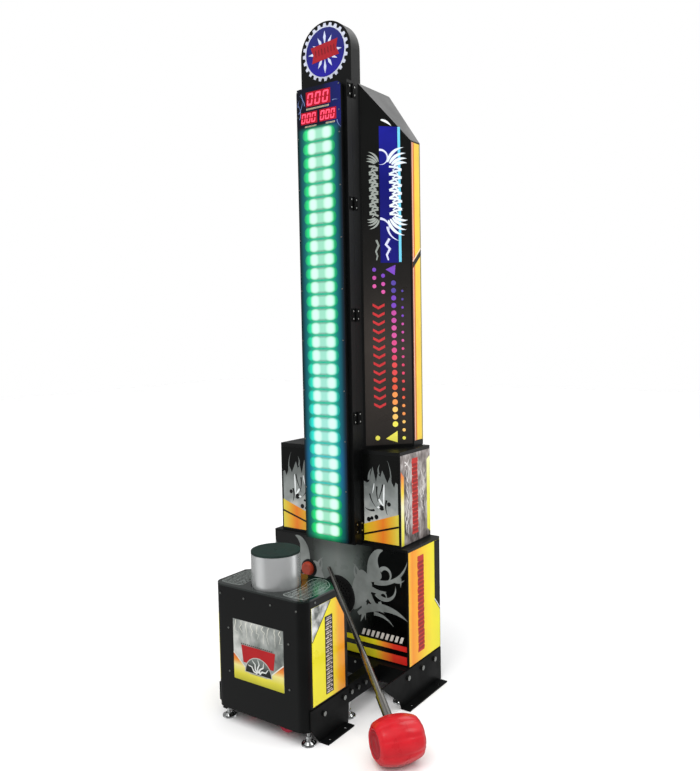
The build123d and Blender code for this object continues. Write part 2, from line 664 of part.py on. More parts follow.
def bolts_and_screws():
    """Bolt heads on the brackets and beams, and the screws of the sheet-metal corners."""
    right = []
    for y in (-96, 7, 100):
        right.append(hex_head((LOWER_HALF_W + WEB_T, y, 101), (1, 0, 0), 17, 7))
    for y, z in ((-459, 92), (-343, 100)):
        right.append(hex_head((STRIKE_HALF_W + WEB_T, y, z), (1, 0, 0), 15, 6))
    for y in (-294, -251, -206):
        right.append(hex_head((BEAM_OUT, y, 100), (1, 0, 0), 15, 6))
    right.append(screw_head((STRIKE_HALF_W, -490, 480), (1, 0, 0), 4, 2))
    for x, z in ((60, 462), (170, 462), (135, 345), (135, 190)):
        right.append(screw_head((x, STRIKE_FRONT_Y, z), (0, -1, 0), 4, 2))
    right.append(screw_head((95, CROSS_FRONT_Y, 115), (0, -1, 0), 5, 2.5))
    for z in (1120, 1500, 1940):
        right.append(screw_head((175, WING_REAR_Y + 2, z), (0, 1, 0), 4, 2))
    heads = []
    for head in right:
        heads += both_sides(head)
    return heads


FOOT_R = 25.0
FEET = ((180.0, -510.0, STRIKE_BASE_Z), (183.0, -284.0, 65.0), (280.0, -95.0, 65.0), (280.0, 125.0, 65.0))


def levelling_foot(x, y, top):
    """Round pad with a swivel ball, a threaded stem and a lock nut under the plate."""
    pad = rod_z(x, y, 0, 5, FOOT_R)
    pad += Pos(x, y, 5) * extrude(Circle(20), 7, taper=45)
    pad += Pos(x, y, 14) * Sphere(9)
    pad += rod_z(x, y, 12, top, 6)
    pad += hex_head((x, y, top - 8), (0, 0, 1), 19, 8)
    pad += hex_head((x, y, 22), (0, 0, 1), 17, 6)
    return pad


def levelling_feet():
    feet = []
    for x, y, top in FEET:
        feet += [levelling_foot(x, y, top), levelling_foot(-x, y, top)]
    return feet


CASTOR_X = 92.0
CASTOR_Y = -486.0
TRAIL = 22.0
WHEEL_R = 36.0
WHEEL_HALF = 12.0
AXLE_Z = 39.0
AXLE_R = 4.0


def castor_mount(side):
    """Top plate with the bore for the fork's king pin."""
    plate = block(side * CASTOR_X - 32, side * CASTOR_X + 32, CASTOR_Y - 32, CASTOR_Y + 32, 91, STRIKE_BASE_Z)
    return plate - rod_z(side * CASTOR_X, CASTOR_Y, 80, STRIKE_BASE_Z + 1, 6 + RUN)


def castor_fork():
    """Fork with its wheel trailing towards +X, about the swivel axis at the origin."""
    fork = rod_z(0, 0, 86.5, 90.5, 24)
    fork += rod_z(0, 0, 86.5, 97, 6)
    for side in (-1, 1):
        y0, y1 = sorted((side * (WHEEL_HALF + 1), side * (WHEEL_HALF + 4)))
        cheek = prism_y([(-16, 87), (16, 87), (TRAIL + 10, AXLE_Z), (TRAIL, AXLE_Z - 10), (TRAIL - 11, AXLE_Z)], y0, y1)
        fork += cheek
    fork += block(-16, 16, -WHEEL_HALF - 4, WHEEL_HALF + 4, 84.5, 87)
    axle = rod_y(TRAIL, AXLE_Z, -WHEEL_HALF - 8, WHEEL_HALF + 8, AXLE_R)
    return fork + axle


def castor_wheel(radius, half, bore):
    """Wheel with a rounded tread, about Y at the origin."""
    wheel = rod_y(0, 0, -half, half, radius)
    wheel = fillet(wheel.edges().filter_by(GeomType.CIRCLE), 4)
    for side in (-1, 1):
        y0, y1 = sorted((side * half * 0.7, side * (half + 1)))
        wheel -= rod_y(0, 0, y0, y1, radius * 0.66) - rod_y(0, 0, y0 - 1, y1 + 1, radius * 0.3)
    return wheel - rod_y(0, 0, -half - 1, half + 1, bore)


REAR_WHEEL = (230.0, 128.0, 28.0)
REAR_WHEEL_R = 25.0
REAR_WHEEL_HALF = 10.0


def rear_castor_bracket():
    x, y, z = REAR_WHEEL
    top = LOWER_BOTTOM_Z
    bracket = block(x - 22, x + 22, y - 26, y + 26, top - 4, top)
    for side in (-1, 1):
        x0, x1 = sorted((x + side * (REAR_WHEEL_HALF + 1), x + side * (REAR_WHEEL_HALF + 4)))
        bracket += prism_x([(y - 20, top - 4), (y + 20, top - 4), (y + 9, z - 9), (y - 9, z - 9)], x0, x1)
    return bracket + rod_x(y, z, x - REAR_WHEEL_HALF - 7, x + REAR_WHEEL_HALF + 7, AXLE_R)


# ---- controls and electrics ---------------------------------------------------------------------
def speaker_grille():
    """Round grille with a raised rim and rings of holes."""
    y0 = LOWER_FRONT_Y
    grille = rod_y(0, SPEAKER_Z, y0 - 4, y0, SPEAKER_R)
    rim = rod_y(0, SPEAKER_Z, y0 - 9, y0, SPEAKER_R) - rod_y(0, SPEAKER_Z, y0 - 10, y0 + 1, SPEAKER_R - 8)
    grille += rim
    for radius, count in ((0, 1), (14, 8), (28, 14), (42, 22), (56, 28)):
        for i in range(count):
            angle = 2 * math.pi * i / count
            grille -= rod_y(radius * math.cos(angle), SPEAKER_Z + radius * math.sin(angle), y0 - 6, y0 + 1, 3.2)
    return grille


def speaker_driver():
    y0 = LOWER_FRONT_Y + SHEET
    driver = rod_y(0, SPEAKER_Z, y0, y0 + 4, 76) - rod_y(0, SPEAKER_Z, y0 - 1, y0 + 5, 62)
    cone_plane = Plane(origin=(0, y0 + 2, SPEAKER_Z), x_dir=(1, 0, 0), z_dir=(0, 1, 0))
    basket = extrude(cone_plane * Circle(64), 34, taper=38)
    basket -= extrude(cone_plane.offset(-1) * Circle(62), 30, taper=38)
    driver += basket
    return driver + rod_y(0, SPEAKER_Z, y0 + 34, y0 + 54, 34)


BUTTON_R = 28.0


def button_bezel():
    y0 = LOWER_FRONT_Y
    bezel = rod_y(BUTTON_X, BUTTON_Z, y0 - 8, y0, 36)
    bezel = fillet(bezel.edges().sort_by(Axis.Y)[0], 3)
    bezel += rod_y(BUTTON_X, BUTTON_Z, y0, y0 + 30, 26 - FIT)
    bezel -= rod_y(BUTTON_X, BUTTON_Z, y0 - 10, y0 + 12, BUTTON_R + 0.4 - 6)
    bezel -= rod_y(BUTTON_X, BUTTON_Z, y0 - 10, y0 - 1, BUTTON_R + 0.4)
    bezel -= rod_y(BUTTON_X, BUTTON_Z, y0 - 10, y0 + 25, 10)
    return bezel


def button_plunger():
    y0 = LOWER_FRONT_Y
    plunger = rod_y(BUTTON_X, BUTTON_Z, y0 - 22, y0 - 7, BUTTON_R)
    plunger = fillet(plunger.edges().sort_by(Axis.Y)[0], 9)
    return plunger + rod_y(BUTTON_X, BUTTON_Z, y0 - 8, y0 + 15, 9)


def button_switch():
    y0 = LOWER_FRONT_Y + 30
    switch = block(BUTTON_X - 14, BUTTON_X + 14, y0, y0 + 22, BUTTON_Z - 9, BUTTON_Z + 9)
    for x in (-9, 0, 9):
        switch += block(BUTTON_X + x - 2.4, BUTTON_X + x + 2.4, y0 + 22, y0 + 30, BUTTON_Z - 0.4, BUTTON_Z + 0.4)
    return switch


def control_board():
    z0 = LOWER_BOTTOM_Z + SHEET
    board = block(-190, -20, -10, 110, z0 + 10, z0 + 11.6)
    pieces = [board]
    for x in (-182, -28):
        for y in (-2, 102):
            pieces.append(rod_z(x, y, z0, z0 + 10, 4))
    pieces.append(block(-130, -100, 35, 65, z0 + 11.6, z0 + 15))
    for i in range(5):
        pieces.append(block(-180 + i * 32, -158 + i * 32, -6, 4, z0 + 11.6, z0 + 22))
    return pieces


def power_supply():
    z0 = LOWER_BOTTOM_Z + SHEET
    case = block(20, 180, -10, 90, z0, z0 + 45)
    for i in range(10):
        case -= block(32 + i * 14, 38 + i * 14, 10, 70, z0 + 42, z0 + 46)
    return case


def mains_inlet():
    """Appliance inlet and the frame of the rocker switch, in the back of the cabinet."""
    y0 = LOWER_REAR_Y
    inlet = block(INLET_X - 30, INLET_X + 30, y0, y0 + 3, INLET_Z - 18, INLET_Z + 18)
    inlet += block(INLET_X - 24 + FIT, INLET_X + 24 - FIT, y0 - 25, y0, INLET_Z - 14 + FIT, INLET_Z + 14 - FIT)
    inlet -= block(INLET_X - 12, INLET_X + 12, y0 - 18, y0 + 5, INLET_Z - 8, INLET_Z + 8)
    for x in (-7, 0, 7):
        inlet += block(INLET_X + x - 1, INLET_X + x + 1, y0 - 19, y0 - 4, INLET_Z - 2.5, INLET_Z + 2.5)
    frame = block(SWITCH_X - 15, SWITCH_X + 15, y0, y0 + 3, INLET_Z - 18, INLET_Z + 18)
    frame += block(SWITCH_X - 12 + FIT, SWITCH_X + 12 - FIT, y0 - 22, y0, INLET_Z - 15 + FIT, INLET_Z + 15 - FIT)
    frame -= block(SWITCH_X - 9, SWITCH_X + 9, y0 - 18, y0 + 5, INLET_Z - 12.5, INLET_Z + 12.5)
    frame += rod_x(y0 - ROCKER_PIVOT_DEPTH, INLET_Z, SWITCH_X - 9, SWITCH_X + 9, ROCKER_PIN_R)
    return [inlet, frame]


def rocker():
    """Rocker paddle on its pivot pin, tilted to the off side."""
    y0 = LOWER_REAR_Y
    outline = [(y0 - 9, -9.5), (y0 + 1.5, -10), (y0 + 2.5, 0), (y0 + 7, 10), (y0 - 9, 8.5)]
    paddle = prism_x(outline, SWITCH_X - 8.4, SWITCH_X + 8.4)
    paddle -= rod_x(y0 - ROCKER_PIVOT_DEPTH, 0, SWITCH_X - 10, SWITCH_X + 10, ROCKER_PIN_R + FIT)
    return Pos(0, 0, INLET_Z) * paddle


# ---- hammer -------------------------------------------------------------------------------------
SLEEVE_R = 15.0             # reinforcing sleeve on the handle beside the head
SLEEVE_END = 160.0


def hammer():
    centre = Vector(*HEAD_CENTRE)
    tip = Vector(*HANDLE_TIP)
    along = (tip - centre).normalized()
    barrel_dir = Vector(along.Y, -along.X, 0).normalized()
    head_frame = Plane(origin=centre, x_dir=along, z_dir=barrel_dir)

    half = HEAD_LENGTH / 2
    cap_half = half - 5
    round_r = 10.0
    side = ThreePointArc((HEAD_END_R, -cap_half), (HEAD_R, 0), (HEAD_END_R, cap_half))
    ends = Polyline((HEAD_END_R, cap_half), (0, cap_half), (0, -cap_half), (HEAD_END_R, -cap_half))
    profile = Plane.XZ * make_face(side + ends)
    barrel = revolve(profile, Axis.Z)
    barrel = fillet(barrel.edges().filter_by(GeomType.CIRCLE), round_r)
    bore = Rot(0, 90, 0) * Cylinder(HANDLE_R_HEAD + 0.1, 2 * HEAD_R + 20)
    head = head_frame * (barrel - bore)

    cap = Cylinder(HEAD_END_R - round_r - 1, 5)
    caps = [head_frame * (Pos(0, 0, end * (cap_half + 2.5)) * cap) for end in (-1, 1)]

    start = -HEAD_R + 12
    length = (tip - centre).length
    run = length - start
    wall = 2.0
    tube = Cone(HANDLE_R_HEAD, HANDLE_R_TIP, run, align=(Align.CENTER, Align.CENTER, Align.MIN))
    sleeve_start = HEAD_R + 1
    sleeve = Cylinder(SLEEVE_R, SLEEVE_END - sleeve_start, align=(Align.CENTER, Align.CENTER, Align.MIN))
    tube += Pos(0, 0, sleeve_start - start) * sleeve
    tube -= Cone(HANDLE_R_HEAD - wall, HANDLE_R_TIP - wall, run, align=(Align.CENTER, Align.CENTER, Align.MIN))
    plug = Pos(0, 0, run - 12) * Cylinder(HANDLE_R_TIP - wall - 0.3, 12, align=(Align.CENTER, Align.CENTER, Align.MIN))
    handle_frame = Plane(origin=centre + along * start, z_dir=along)
    return head, caps, [handle_frame * tube, handle_frame * plug]


# ---- write every node ---------------------------------------------------------------------------
def main():
    save("lower_cabinet_shell", lower_cabinet())
    front_art, side_art = lower_art()
    save("lower_front_art_panel", front_art)
    save("lower_side_art_panels", both_sides(side_art))
    save("shoulder_box_shell", shoulder_box())
    save("shoulder_art_panels", shoulder_art())
    save("led_column_shell", led_column())
    save("tower_wing_shell", tower_wing())
    save("wing_art_panels", wing_art())
    save("tower_rear_panel", tower_rear_panel())
    save("head_emblem_disc", emblem_disc())
    save("head_gear_ring", gear_ring())

    save("led_door_frame", door_frame())
    save("led_front_panel", front_panel())
    save("led_bar_lenses", bar_lenses())
    save("score_display_modules", score_displays())
    save("led_light_board", light_board())
    save("door_front_screws", door_screws())
    column_leaves, door_leaves = door_hinges()
    rear_fixed, rear_moving = rear_hinges()
    save("fixed_hinge_leaves", column_leaves + rear_fixed)
    save("door_hinge_leaves", door_leaves)
    barrel, cam = door_lock()
    save("led_door_lock_barrel", barrel)
    save("led_door_lock_cam", cam)

    save("rear_service_door", rear_door())
    save("rear_door_hinge_leaves", rear_moving)
    save("rear_door_lock_barrel", lock_barrel_y(200, 320))
    save("rear_door_lock_cam", lock_cam_y(200, 320))

    save("strike_box_shell", strike_shell())
    save("strike_top_plate", strike_top())
    save("strike_base_plate", strike_inner_plate(STRIKE_BASE_Z, STRIKE_BASE_Z + SHEET))
    save("strike_art_panels", strike_art())
    save("strike_cross_frame", cross_frame())
    save("anvil_guide_bush", guide_bush())
    save("impact_sensor", impact_sensor())
    save("anvil_drum", anvil_drum())
    save("anvil_rubber_pad", anvil_pad())
    save("anvil_shaft", anvil_shaft())
    save("anvil_return_spring", return_spring())

    save("base_beams", base_beams())
    save("floor_brackets", floor_brackets())
    save("bolts_and_screws", bolts_and_screws())
    save("levelling_feet", levelling_feet())
    save("castor_mount_plates", [castor_mount(1), castor_mount(-1)])
    right = Pos(CASTOR_X, CASTOR_Y, 0) * Rot(0, 0, 180)
    left = Pos(-CASTOR_X, CASTOR_Y, 0) * Rot(0, 0, 90)
    wheel = Pos(TRAIL, 0, AXLE_Z) * castor_wheel(WHEEL_R, WHEEL_HALF, AXLE_R + RUN)
    save("castor_fork_right", right * castor_fork())
    save("castor_fork_left", left * castor_fork())
    save("castor_wheel_right", right * wheel)
    save("castor_wheel_left", left * wheel)
    save("rear_castor_brackets", both_sides(rear_castor_bracket()))
    rear = Pos(*REAR_WHEEL) * Rot(0, 0, 90) * castor_wheel(REAR_WHEEL_R, REAR_WHEEL_HALF, AXLE_R + RUN)
    save("rear_wheel_right", rear)
    save("rear_wheel_left", mirrored(rear))

    save("speaker_grille", speaker_grille())
    save("speaker_driver", speaker_driver())
    save("start_button_bezel", button_bezel())
    save("start_button_plunger", button_plunger())
    save("start_button_switch", button_switch())
    save("control_board", control_board())
    save("power_supply", power_supply())
    save("mains_inlet", mains_inlet())
    save("mains_rocker", rocker())

    head, caps, handle = hammer()
    save("hammer_head", head)
    save("hammer_end_caps", caps)
    save("hammer_handle", handle)


main()
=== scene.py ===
import math
import random
from collections import namedtuple

import bmesh
import bpy
from mathutils import Matrix, Vector, geometry, noise


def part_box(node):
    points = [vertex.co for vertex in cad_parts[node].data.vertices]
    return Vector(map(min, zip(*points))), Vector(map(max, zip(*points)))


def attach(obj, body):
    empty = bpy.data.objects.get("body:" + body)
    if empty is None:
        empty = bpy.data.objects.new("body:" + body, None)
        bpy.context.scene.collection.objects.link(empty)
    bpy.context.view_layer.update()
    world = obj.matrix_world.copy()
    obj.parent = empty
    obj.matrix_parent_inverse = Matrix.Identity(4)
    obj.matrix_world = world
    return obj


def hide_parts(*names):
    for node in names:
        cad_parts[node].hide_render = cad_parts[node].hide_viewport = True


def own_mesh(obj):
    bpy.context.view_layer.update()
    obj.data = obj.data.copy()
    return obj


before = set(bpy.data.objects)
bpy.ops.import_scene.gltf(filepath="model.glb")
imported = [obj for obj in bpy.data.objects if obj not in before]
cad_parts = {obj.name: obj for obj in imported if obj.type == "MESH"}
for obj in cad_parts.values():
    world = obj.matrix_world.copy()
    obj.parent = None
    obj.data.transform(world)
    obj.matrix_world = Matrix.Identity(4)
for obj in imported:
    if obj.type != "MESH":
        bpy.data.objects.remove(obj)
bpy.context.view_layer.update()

MM = 0.001  # shapes and colour stops are in mm; spans in shaders, the camera and the lights are in metres
FILM = 0.35  # thickness of one layer of printed art
FILM_ROUGH = 0.36
NOISE_LOW = 0.3  # nearly all of a noise texture lies between these two values
NOISE_HIGH = 0.7
GRAIN_DEPTH = 0.0004  # metres


# ---- surfaces ----
def rgb(code):
    """Linear colour of a six-digit display colour."""
    parts = [int(code[i:i + 2], 16) / 255 for i in (0, 2, 4)]
    return (*[c / 12.92 if c <= 0.04045 else ((c + 0.055) / 1.055) ** 2.4 for c in parts], 1.0)


def plug(tree, value, socket):
    """Gives a socket a link from another node or a plain value."""
    if isinstance(value, bpy.types.NodeSocket):
        tree.links.new(value, socket)
    else:
        socket.default_value = value


def math_node(tree, operation, a, b=0.0):
    node = tree.nodes.new("ShaderNodeMath")
    node.operation = operation
    plug(tree, a, node.inputs[0])
    plug(tree, b, node.inputs[1])
    return node.outputs[0]


class Surface:
    """A Principled material and the kinds of nodes that its patterns are made of."""

    def __init__(self, name):
        self.material = bpy.data.materials.new(name)
        self.material.use_nodes = True
        self.tree = self.material.node_tree
        self.shader = self.tree.nodes["Principled BSDF"]
        self.place = self.tree.nodes.new("ShaderNodeTexCoord").outputs["Object"]
        split = self.tree.nodes.new("ShaderNodeSeparateXYZ")
        self.tree.links.new(self.place, split.inputs[0])
        self.x, self.y, self.z = split.outputs
        self.side = self.math("ABSOLUTE", self.x)

    def plug(self, value, socket):
        plug(self.tree, value, socket)

    def math(self, operation, a, b=0.0):
        return math_node(self.tree, operation, a, b)

    def span(self, value, low, high, to_low=0.0, to_high=1.0, smooth=False):
        node = self.tree.nodes.new("ShaderNodeMapRange")
        node.interpolation_type = "SMOOTHSTEP" if smooth else "LINEAR"
        for socket, number in zip(node.inputs, (value, low, high, to_low, to_high)):
            self.plug(number, socket)
        return node.outputs[0]

    def noise(self, scale, detail=3.0, stretch=(1, 1, 1)):
        squeeze = self.tree.nodes.new("ShaderNodeVectorMath")
        squeeze.operation = "MULTIPLY"
        self.plug(self.place, squeeze.inputs[0])
        squeeze.inputs[1].default_value = stretch
        node = self.tree.nodes.new("ShaderNodeTexNoise")
        self.plug(squeeze.outputs[0], node.inputs["Vector"])
        node.inputs["Scale"].default_value = scale
        node.inputs["Detail"].default_value = detail
        return node.outputs[0]

    def ramp(self, value, stops, steps=False):
        node = self.tree.nodes.new("ShaderNodeValToRGB")
        self.plug(value, node.inputs[0])
        band = node.color_ramp
        band.interpolation = "CONSTANT" if steps else "LINEAR"
        band.elements[0].position = stops[0][0]
        band.elements[1].position = stops[-1][0]
        for position, _ in stops[1:-1]:
            band.elements.new(position)
        for element, (_, code) in zip(band.elements, stops):
            element.color = rgb(code)
        return node.outputs[0]

    def run(self, value, stops, steps=False):
        """Colours along a length: stops are (place in mm, colour)."""
        low, high = stops[0][0], stops[-1][0]
        fraction = self.span(value, low * MM, high * MM)
        return self.ramp(fraction, [((at - low) / (high - low), code) for at, code in stops], steps)

    def blend(self, factor, a, b, kind="MIX"):
        node = self.tree.nodes.new("ShaderNodeMix")
        node.data_type = "RGBA"
        node.blend_type = kind
        self.plug(factor, node.inputs[0])
        self.plug(a, node.inputs[6])
        self.plug(b, node.inputs[7])
        return node.outputs[2]

    def dress(self, color, rough, drift=0.15, patch=9.0, spread=0.07, grain=800.0, bump=0.12,
              stretch=(1, 1, 1), **plain):
        """Sets colour, gloss and grain. Colour and gloss drift over patches; plain goes on the shader."""
        wander = self.noise(patch, 5.0)
        shade = self.span(wander, NOISE_LOW, NOISE_HIGH, 1 - drift, 1 + drift)
        gloss = self.span(wander, NOISE_LOW, NOISE_HIGH, rough - spread, rough + spread)
        self.plug(self.blend(1.0, color, shade, "MULTIPLY"), self.shader.inputs["Base Color"])
        self.plug(gloss, self.shader.inputs["Roughness"])
        relief = self.tree.nodes.new("ShaderNodeBump")
        relief.inputs["Strength"].default_value = bump
        relief.inputs["Distance"].default_value = GRAIN_DEPTH
        self.plug(self.noise(grain, 2.0, stretch), relief.inputs["Height"])
        self.plug(relief.outputs[0], self.shader.inputs["Normal"])
        plain.setdefault("Specular_IOR_Level", 0.2)
        for socket, number in plain.items():
            self.shader.inputs[socket.replace("_", " ")].default_value = number
        return self.material


def finish(name, code, rough, **more):
    return Surface(name).dress(rgb(code), rough, **more)


def ink(name, code, **more):
    """Printed vinyl film under a clear laminate."""
    settings = dict(drift=0.06, patch=14.0, spread=0.05, grain=1400.0, bump=0.05, Coat_Weight=0.05,
                    Coat_Roughness=0.2)
    settings.update(more)
    return finish(name, code, FILM_ROUGH, **settings)


def faded(name, axis, stops, rough=FILM_ROUGH, **more):
    """Film whose colour changes along x, y or z, or along side, which is the distance from x = 0."""
    film = Surface(name)
    return film.dress(film.run(getattr(film, axis), stops), rough, **more)


def wear(nodes, material):
    """Puts a material on CAD nodes, whose names stand in one text with spaces between them."""
    for node in nodes.split():
        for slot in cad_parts[node].material_slots:
            slot.material = material


# ---- flat art ----
Face = namedtuple("Face", "place slot body")  # place turns (u, v, h) into (x, y, z), all in mm


def facing_front(node, slot, body="cabinet"):
    """Front of a node: u runs along X, v up, h out of the face."""
    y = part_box(node)[0].y / MM
    return Face(lambda u, v, h: (u, y - h, v), slot, body)


def facing_side(node, slot):
    """Right side of a node: u runs along Y, v up."""
    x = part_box(node)[1].x / MM
    return Face(lambda u, v, h: (x + h, u, v), slot, "cabinet")


def facing_up(node, slot):
    """Top of a node: u runs along X, v along Y."""
    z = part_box(node)[1].z / MM
    return Face(lambda u, v, h: (u, v, z + h), slot, "cabinet")


WING_NEAR = Vector((113.9, -55.0))  # where the slanted wing front starts, at the column
WING_FAR = Vector((246.5, 91.5))  # and where it ends, at the wing's outer corner
WING_PANEL = 1.0
WING_ACROSS = (WING_FAR - WING_NEAR).normalized()
WING_OUT = Vector((WING_ACROSS.y, -WING_ACROSS.x))


def on_wing(u, v, h):
    """Place on the slanted wing front: u runs from the column to the wing's outer corner."""
    spot = WING_NEAR + WING_ACROSS * u + WING_OUT * (WING_PANEL + h)
    return spot.x, spot.y, v


WING_FACE = Face(on_wing, "wing_art", "cabinet")


def bar(u0, u1, v0, v1, lean=0.0):
    """Four-sided bar; lean moves its top sideways."""
    return [(u0, v0), (u1, v0), (u1 + lean, v1), (u0 + lean, v1)]


def disc(u, v, r, count=24):
    return [(u + r * math.cos(2 * math.pi * i / count), v + r * math.sin(2 * math.pi * i / count))
            for i in range(count)]


def diamond(u, v, half_w, half_h):
    return [(u - half_w, v), (u, v - half_h), (u + half_w, v), (u, v + half_h)]


def ribbon(points):
    """Outline of a band along points of (u, v, width)."""
    left, right = [], []
    for i, (u, v, width) in enumerate(points):
        before, after = points[max(i - 1, 0)], points[min(i + 1, len(points) - 1)]
        du, dv = after[0] - before[0], after[1] - before[1]
        scale = max(width, 0.4) / 2 / max(math.hypot(du, dv), 1e-6)
        left.append((u - dv * scale, v + du * scale))
        right.append((u + dv * scale, v - du * scale))
    return left + right[::-1]


def curl(u, v, heading, length, turn, width, leaf=False, count=18):
    """Curl from (u, v) that bends evenly by turn degrees. It tapers, and a leaf also starts narrow."""
    points = []
    for i in range(count + 1):
        t = i / count
        taper = (1 - t) ** 0.75
        if leaf:
            taper = math.sin(math.pi * (0.08 + 0.92 * t) ** 0.8) ** 0.9 if t < 1 else 0
        points.append((u, v, width * taper))
        angle = math.radians(heading + turn * t)
        u += length / count * math.cos(angle)
        v += length / count * math.sin(angle)
    return ribbon(points)


def soften(points, rounds=2):
    """Outline with its corners cut off again and again, until it runs in curves."""
    for _ in range(rounds):
        cut = []
        for (a, b), (c, d) in zip(points, points[1:] + points[:1]):
            cut.append((0.75 * a + 0.25 * c, 0.75 * b + 0.25 * d))
            cut.append((0.25 * a + 0.75 * c, 0.25 * b + 0.75 * d))
        points = cut
    return points


def zigzag(u, v0, v1, swing, width, count):
    """Upright zigzag band whose width swells in its middle."""
    points = []
    for i in range(count + 1):
        t = i / count
        swell = width * (0.5 + math.sin(math.pi * t))
        points.append((u + swing * (1 if i % 2 else -1), v0 + (v1 - v0) * t, swell))
    return ribbon(points)


def plates(name, shapes, place, lift, depth=FILM, mirror=False):
    """Mesh of thin closed plates. A shape is an outline, or a list of an outline and its holes.

    Neighbours differ a little in depth, so that tops that cross never lie in one plane.
    """
    verts, faces = [], []
    for side in (1, -1) if mirror else (1,):
        for order, shape in enumerate(shapes):
            rings = shape if isinstance(shape[0], list) else [shape]
            flat = [point for ring in rings for point in ring]
            first, count = len(verts), len(flat)
            for h in (lift, lift + depth * (1 + 0.04 * (order % 16))):
                for u, v in flat:
                    x, y, z = place(u, v, h)
                    verts.append((side * x * MM, y * MM, z * MM))
            outline = [[Vector((*point, 0)) for point in ring] for ring in rings]
            for triangle in geometry.tessellate_polygon(outline):
                faces.append([first + i for i in triangle])
                faces.append([first + count + i for i in reversed(triangle)])
            for ring in rings:
                size = len(ring)
                for i in range(size):
                    j = (i + 1) % size
                    faces.append((first + i, first + j, first + count + j, first + count + i))
                first += size
    return new_mesh(name, verts, faces)


def new_mesh(name, verts, faces, smooth=False):
    """Mesh without slivers, with all its faces turned out."""
    mesh = bpy.data.meshes.new(name)
    mesh.from_pydata(verts, [], faces)
    bm = bmesh.new()
    bm.from_mesh(mesh)
    bmesh.ops.dissolve_degenerate(bm, dist=1e-6, edges=bm.edges)
    bmesh.ops.recalc_face_normals(bm, faces=bm.faces)
    for face in bm.faces:
        face.smooth = smooth
    bm.to_mesh(mesh)
    bm.free()
    return mesh


def joined(name, parts):
    """One mesh of several parts, which are used up."""
    whole = bmesh.new()
    for part in parts:
        whole.from_mesh(part)
        bpy.data.meshes.remove(part)
    mesh = bpy.data.meshes.new(name)
    whole.to_mesh(mesh)
    whole.free()
    return mesh


def show(thing):
    bpy.context.scene.collection.objects.link(thing)


def add_piece(mesh, body, material):
    piece = bpy.data.objects.new(mesh.name, mesh)
    show(piece)
    mesh.materials.append(material)
    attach(piece, body)
    return piece


def art(name, shapes, face, layer, material, mirror=True, depth=FILM):
    """Printed art in a layer above a face. Mirrored art shows on both halves of the part."""
    lift = (layer - 1) * FILM
    mesh = plates(name, shapes, face.place, lift, depth, mirror)
    return add_piece(mesh, face.body, material)


# ---- round pieces ----
def lathe(name, profile, origin, axis, reach, count, shape=None):
    """Closed mesh turned about axis. Profile is (along, radius) in mm; its ends close on the axis.

    A shape function may give each point its own radius from (along, radius, angle).
    """
    across = reach.cross(axis)
    verts = [origin + axis * (profile[0][0] * MM)]
    for along, radius in profile:
        for i in range(count):
            angle = 2 * math.pi * i / count
            r = shape(along, radius, angle) if shape else radius
            out = reach * math.cos(angle) + across * math.sin(angle)
            verts.append(origin + axis * (along * MM) + out * r * MM)
    verts.append(origin + axis * (profile[-1][0] * MM))
    faces = [(0, 1 + (i + 1) % count, 1 + i) for i in range(count)]
    for row in range(len(profile) - 1):
        for i in range(count):
            a, b = 1 + row * count + i, 1 + row * count + (i + 1) % count
            faces.append((a, b, b + count, a + count))
    last = 1 + (len(profile) - 1) * count
    faces += [(len(verts) - 1, last + i, last + (i + 1) % count) for i in range(count)]
    return new_mesh(name, verts, faces, smooth=True)


# ---- return spring ----
SPRING_WIRE_R = 2.5
SPRING_TURNS = 8
TURN_STEPS = 32
WIRE_SIDES = 10


def return_spring(material):
    """The anvil's spring, standing on the guide bush at its full length."""
    low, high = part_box("anvil_return_spring")
    foot = Vector(((low.x + high.x) / 2, (low.y + high.y) / 2, low.z))
    height = high.z - low.z
    wire_r = SPRING_WIRE_R * MM
    coil_r = (high.x - low.x) / 2 - wire_r
    last = SPRING_TURNS * TURN_STEPS
    verts, faces = [], []
    for i in range(last + 1):
        angle = 2 * math.pi * i / TURN_STEPS
        out = Vector((math.cos(angle), math.sin(angle), 0))
        up = Vector((0, 0, wire_r + (height - 2 * wire_r) * i / last))
        for k in range(WIRE_SIDES):
            side = 2 * math.pi * k / WIRE_SIDES
            rim = out * math.cos(side) + Vector((0, 0, math.sin(side)))
            verts.append(foot + up + out * coil_r + rim * wire_r)
            if i:
                a, b = i * WIRE_SIDES + k, i * WIRE_SIDES + (k + 1) % WIRE_SIDES
                faces.append((a, b, b - WIRE_SIDES, a - WIRE_SIDES))
    faces += [tuple(range(WIRE_SIDES)), tuple(last * WIRE_SIDES + k for k in range(WIRE_SIDES))]
    mesh = new_mesh("anvil_spring_coil", verts, faces, smooth=True)
    coil = add_piece(mesh, "cabinet", material)
    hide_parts("anvil_return_spring")
    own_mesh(coil)


# ---- camera, floor and light ----
CAMERA_SPOT = (1.7385, -2.4562, 1.3752)  # metres
CAMERA_TURN = (35.04, 4.17, -1.05)  # degrees: left of the Y axis, downwards, about the line of sight
CAMERA_LENS = 36.23
CAMERA_SENSOR = 36.0
FLOOR_HALF = 14.0  # metres
FLOOR_DROP = 0.0005  # metres
LIGHT_AIM = (0, 0, 1.1)  # metres
REFLECTORS = ((52, 0.85, 0.88), (-130, 0.45, 0.86))  # direction in degrees, brightness, cosine at the edge


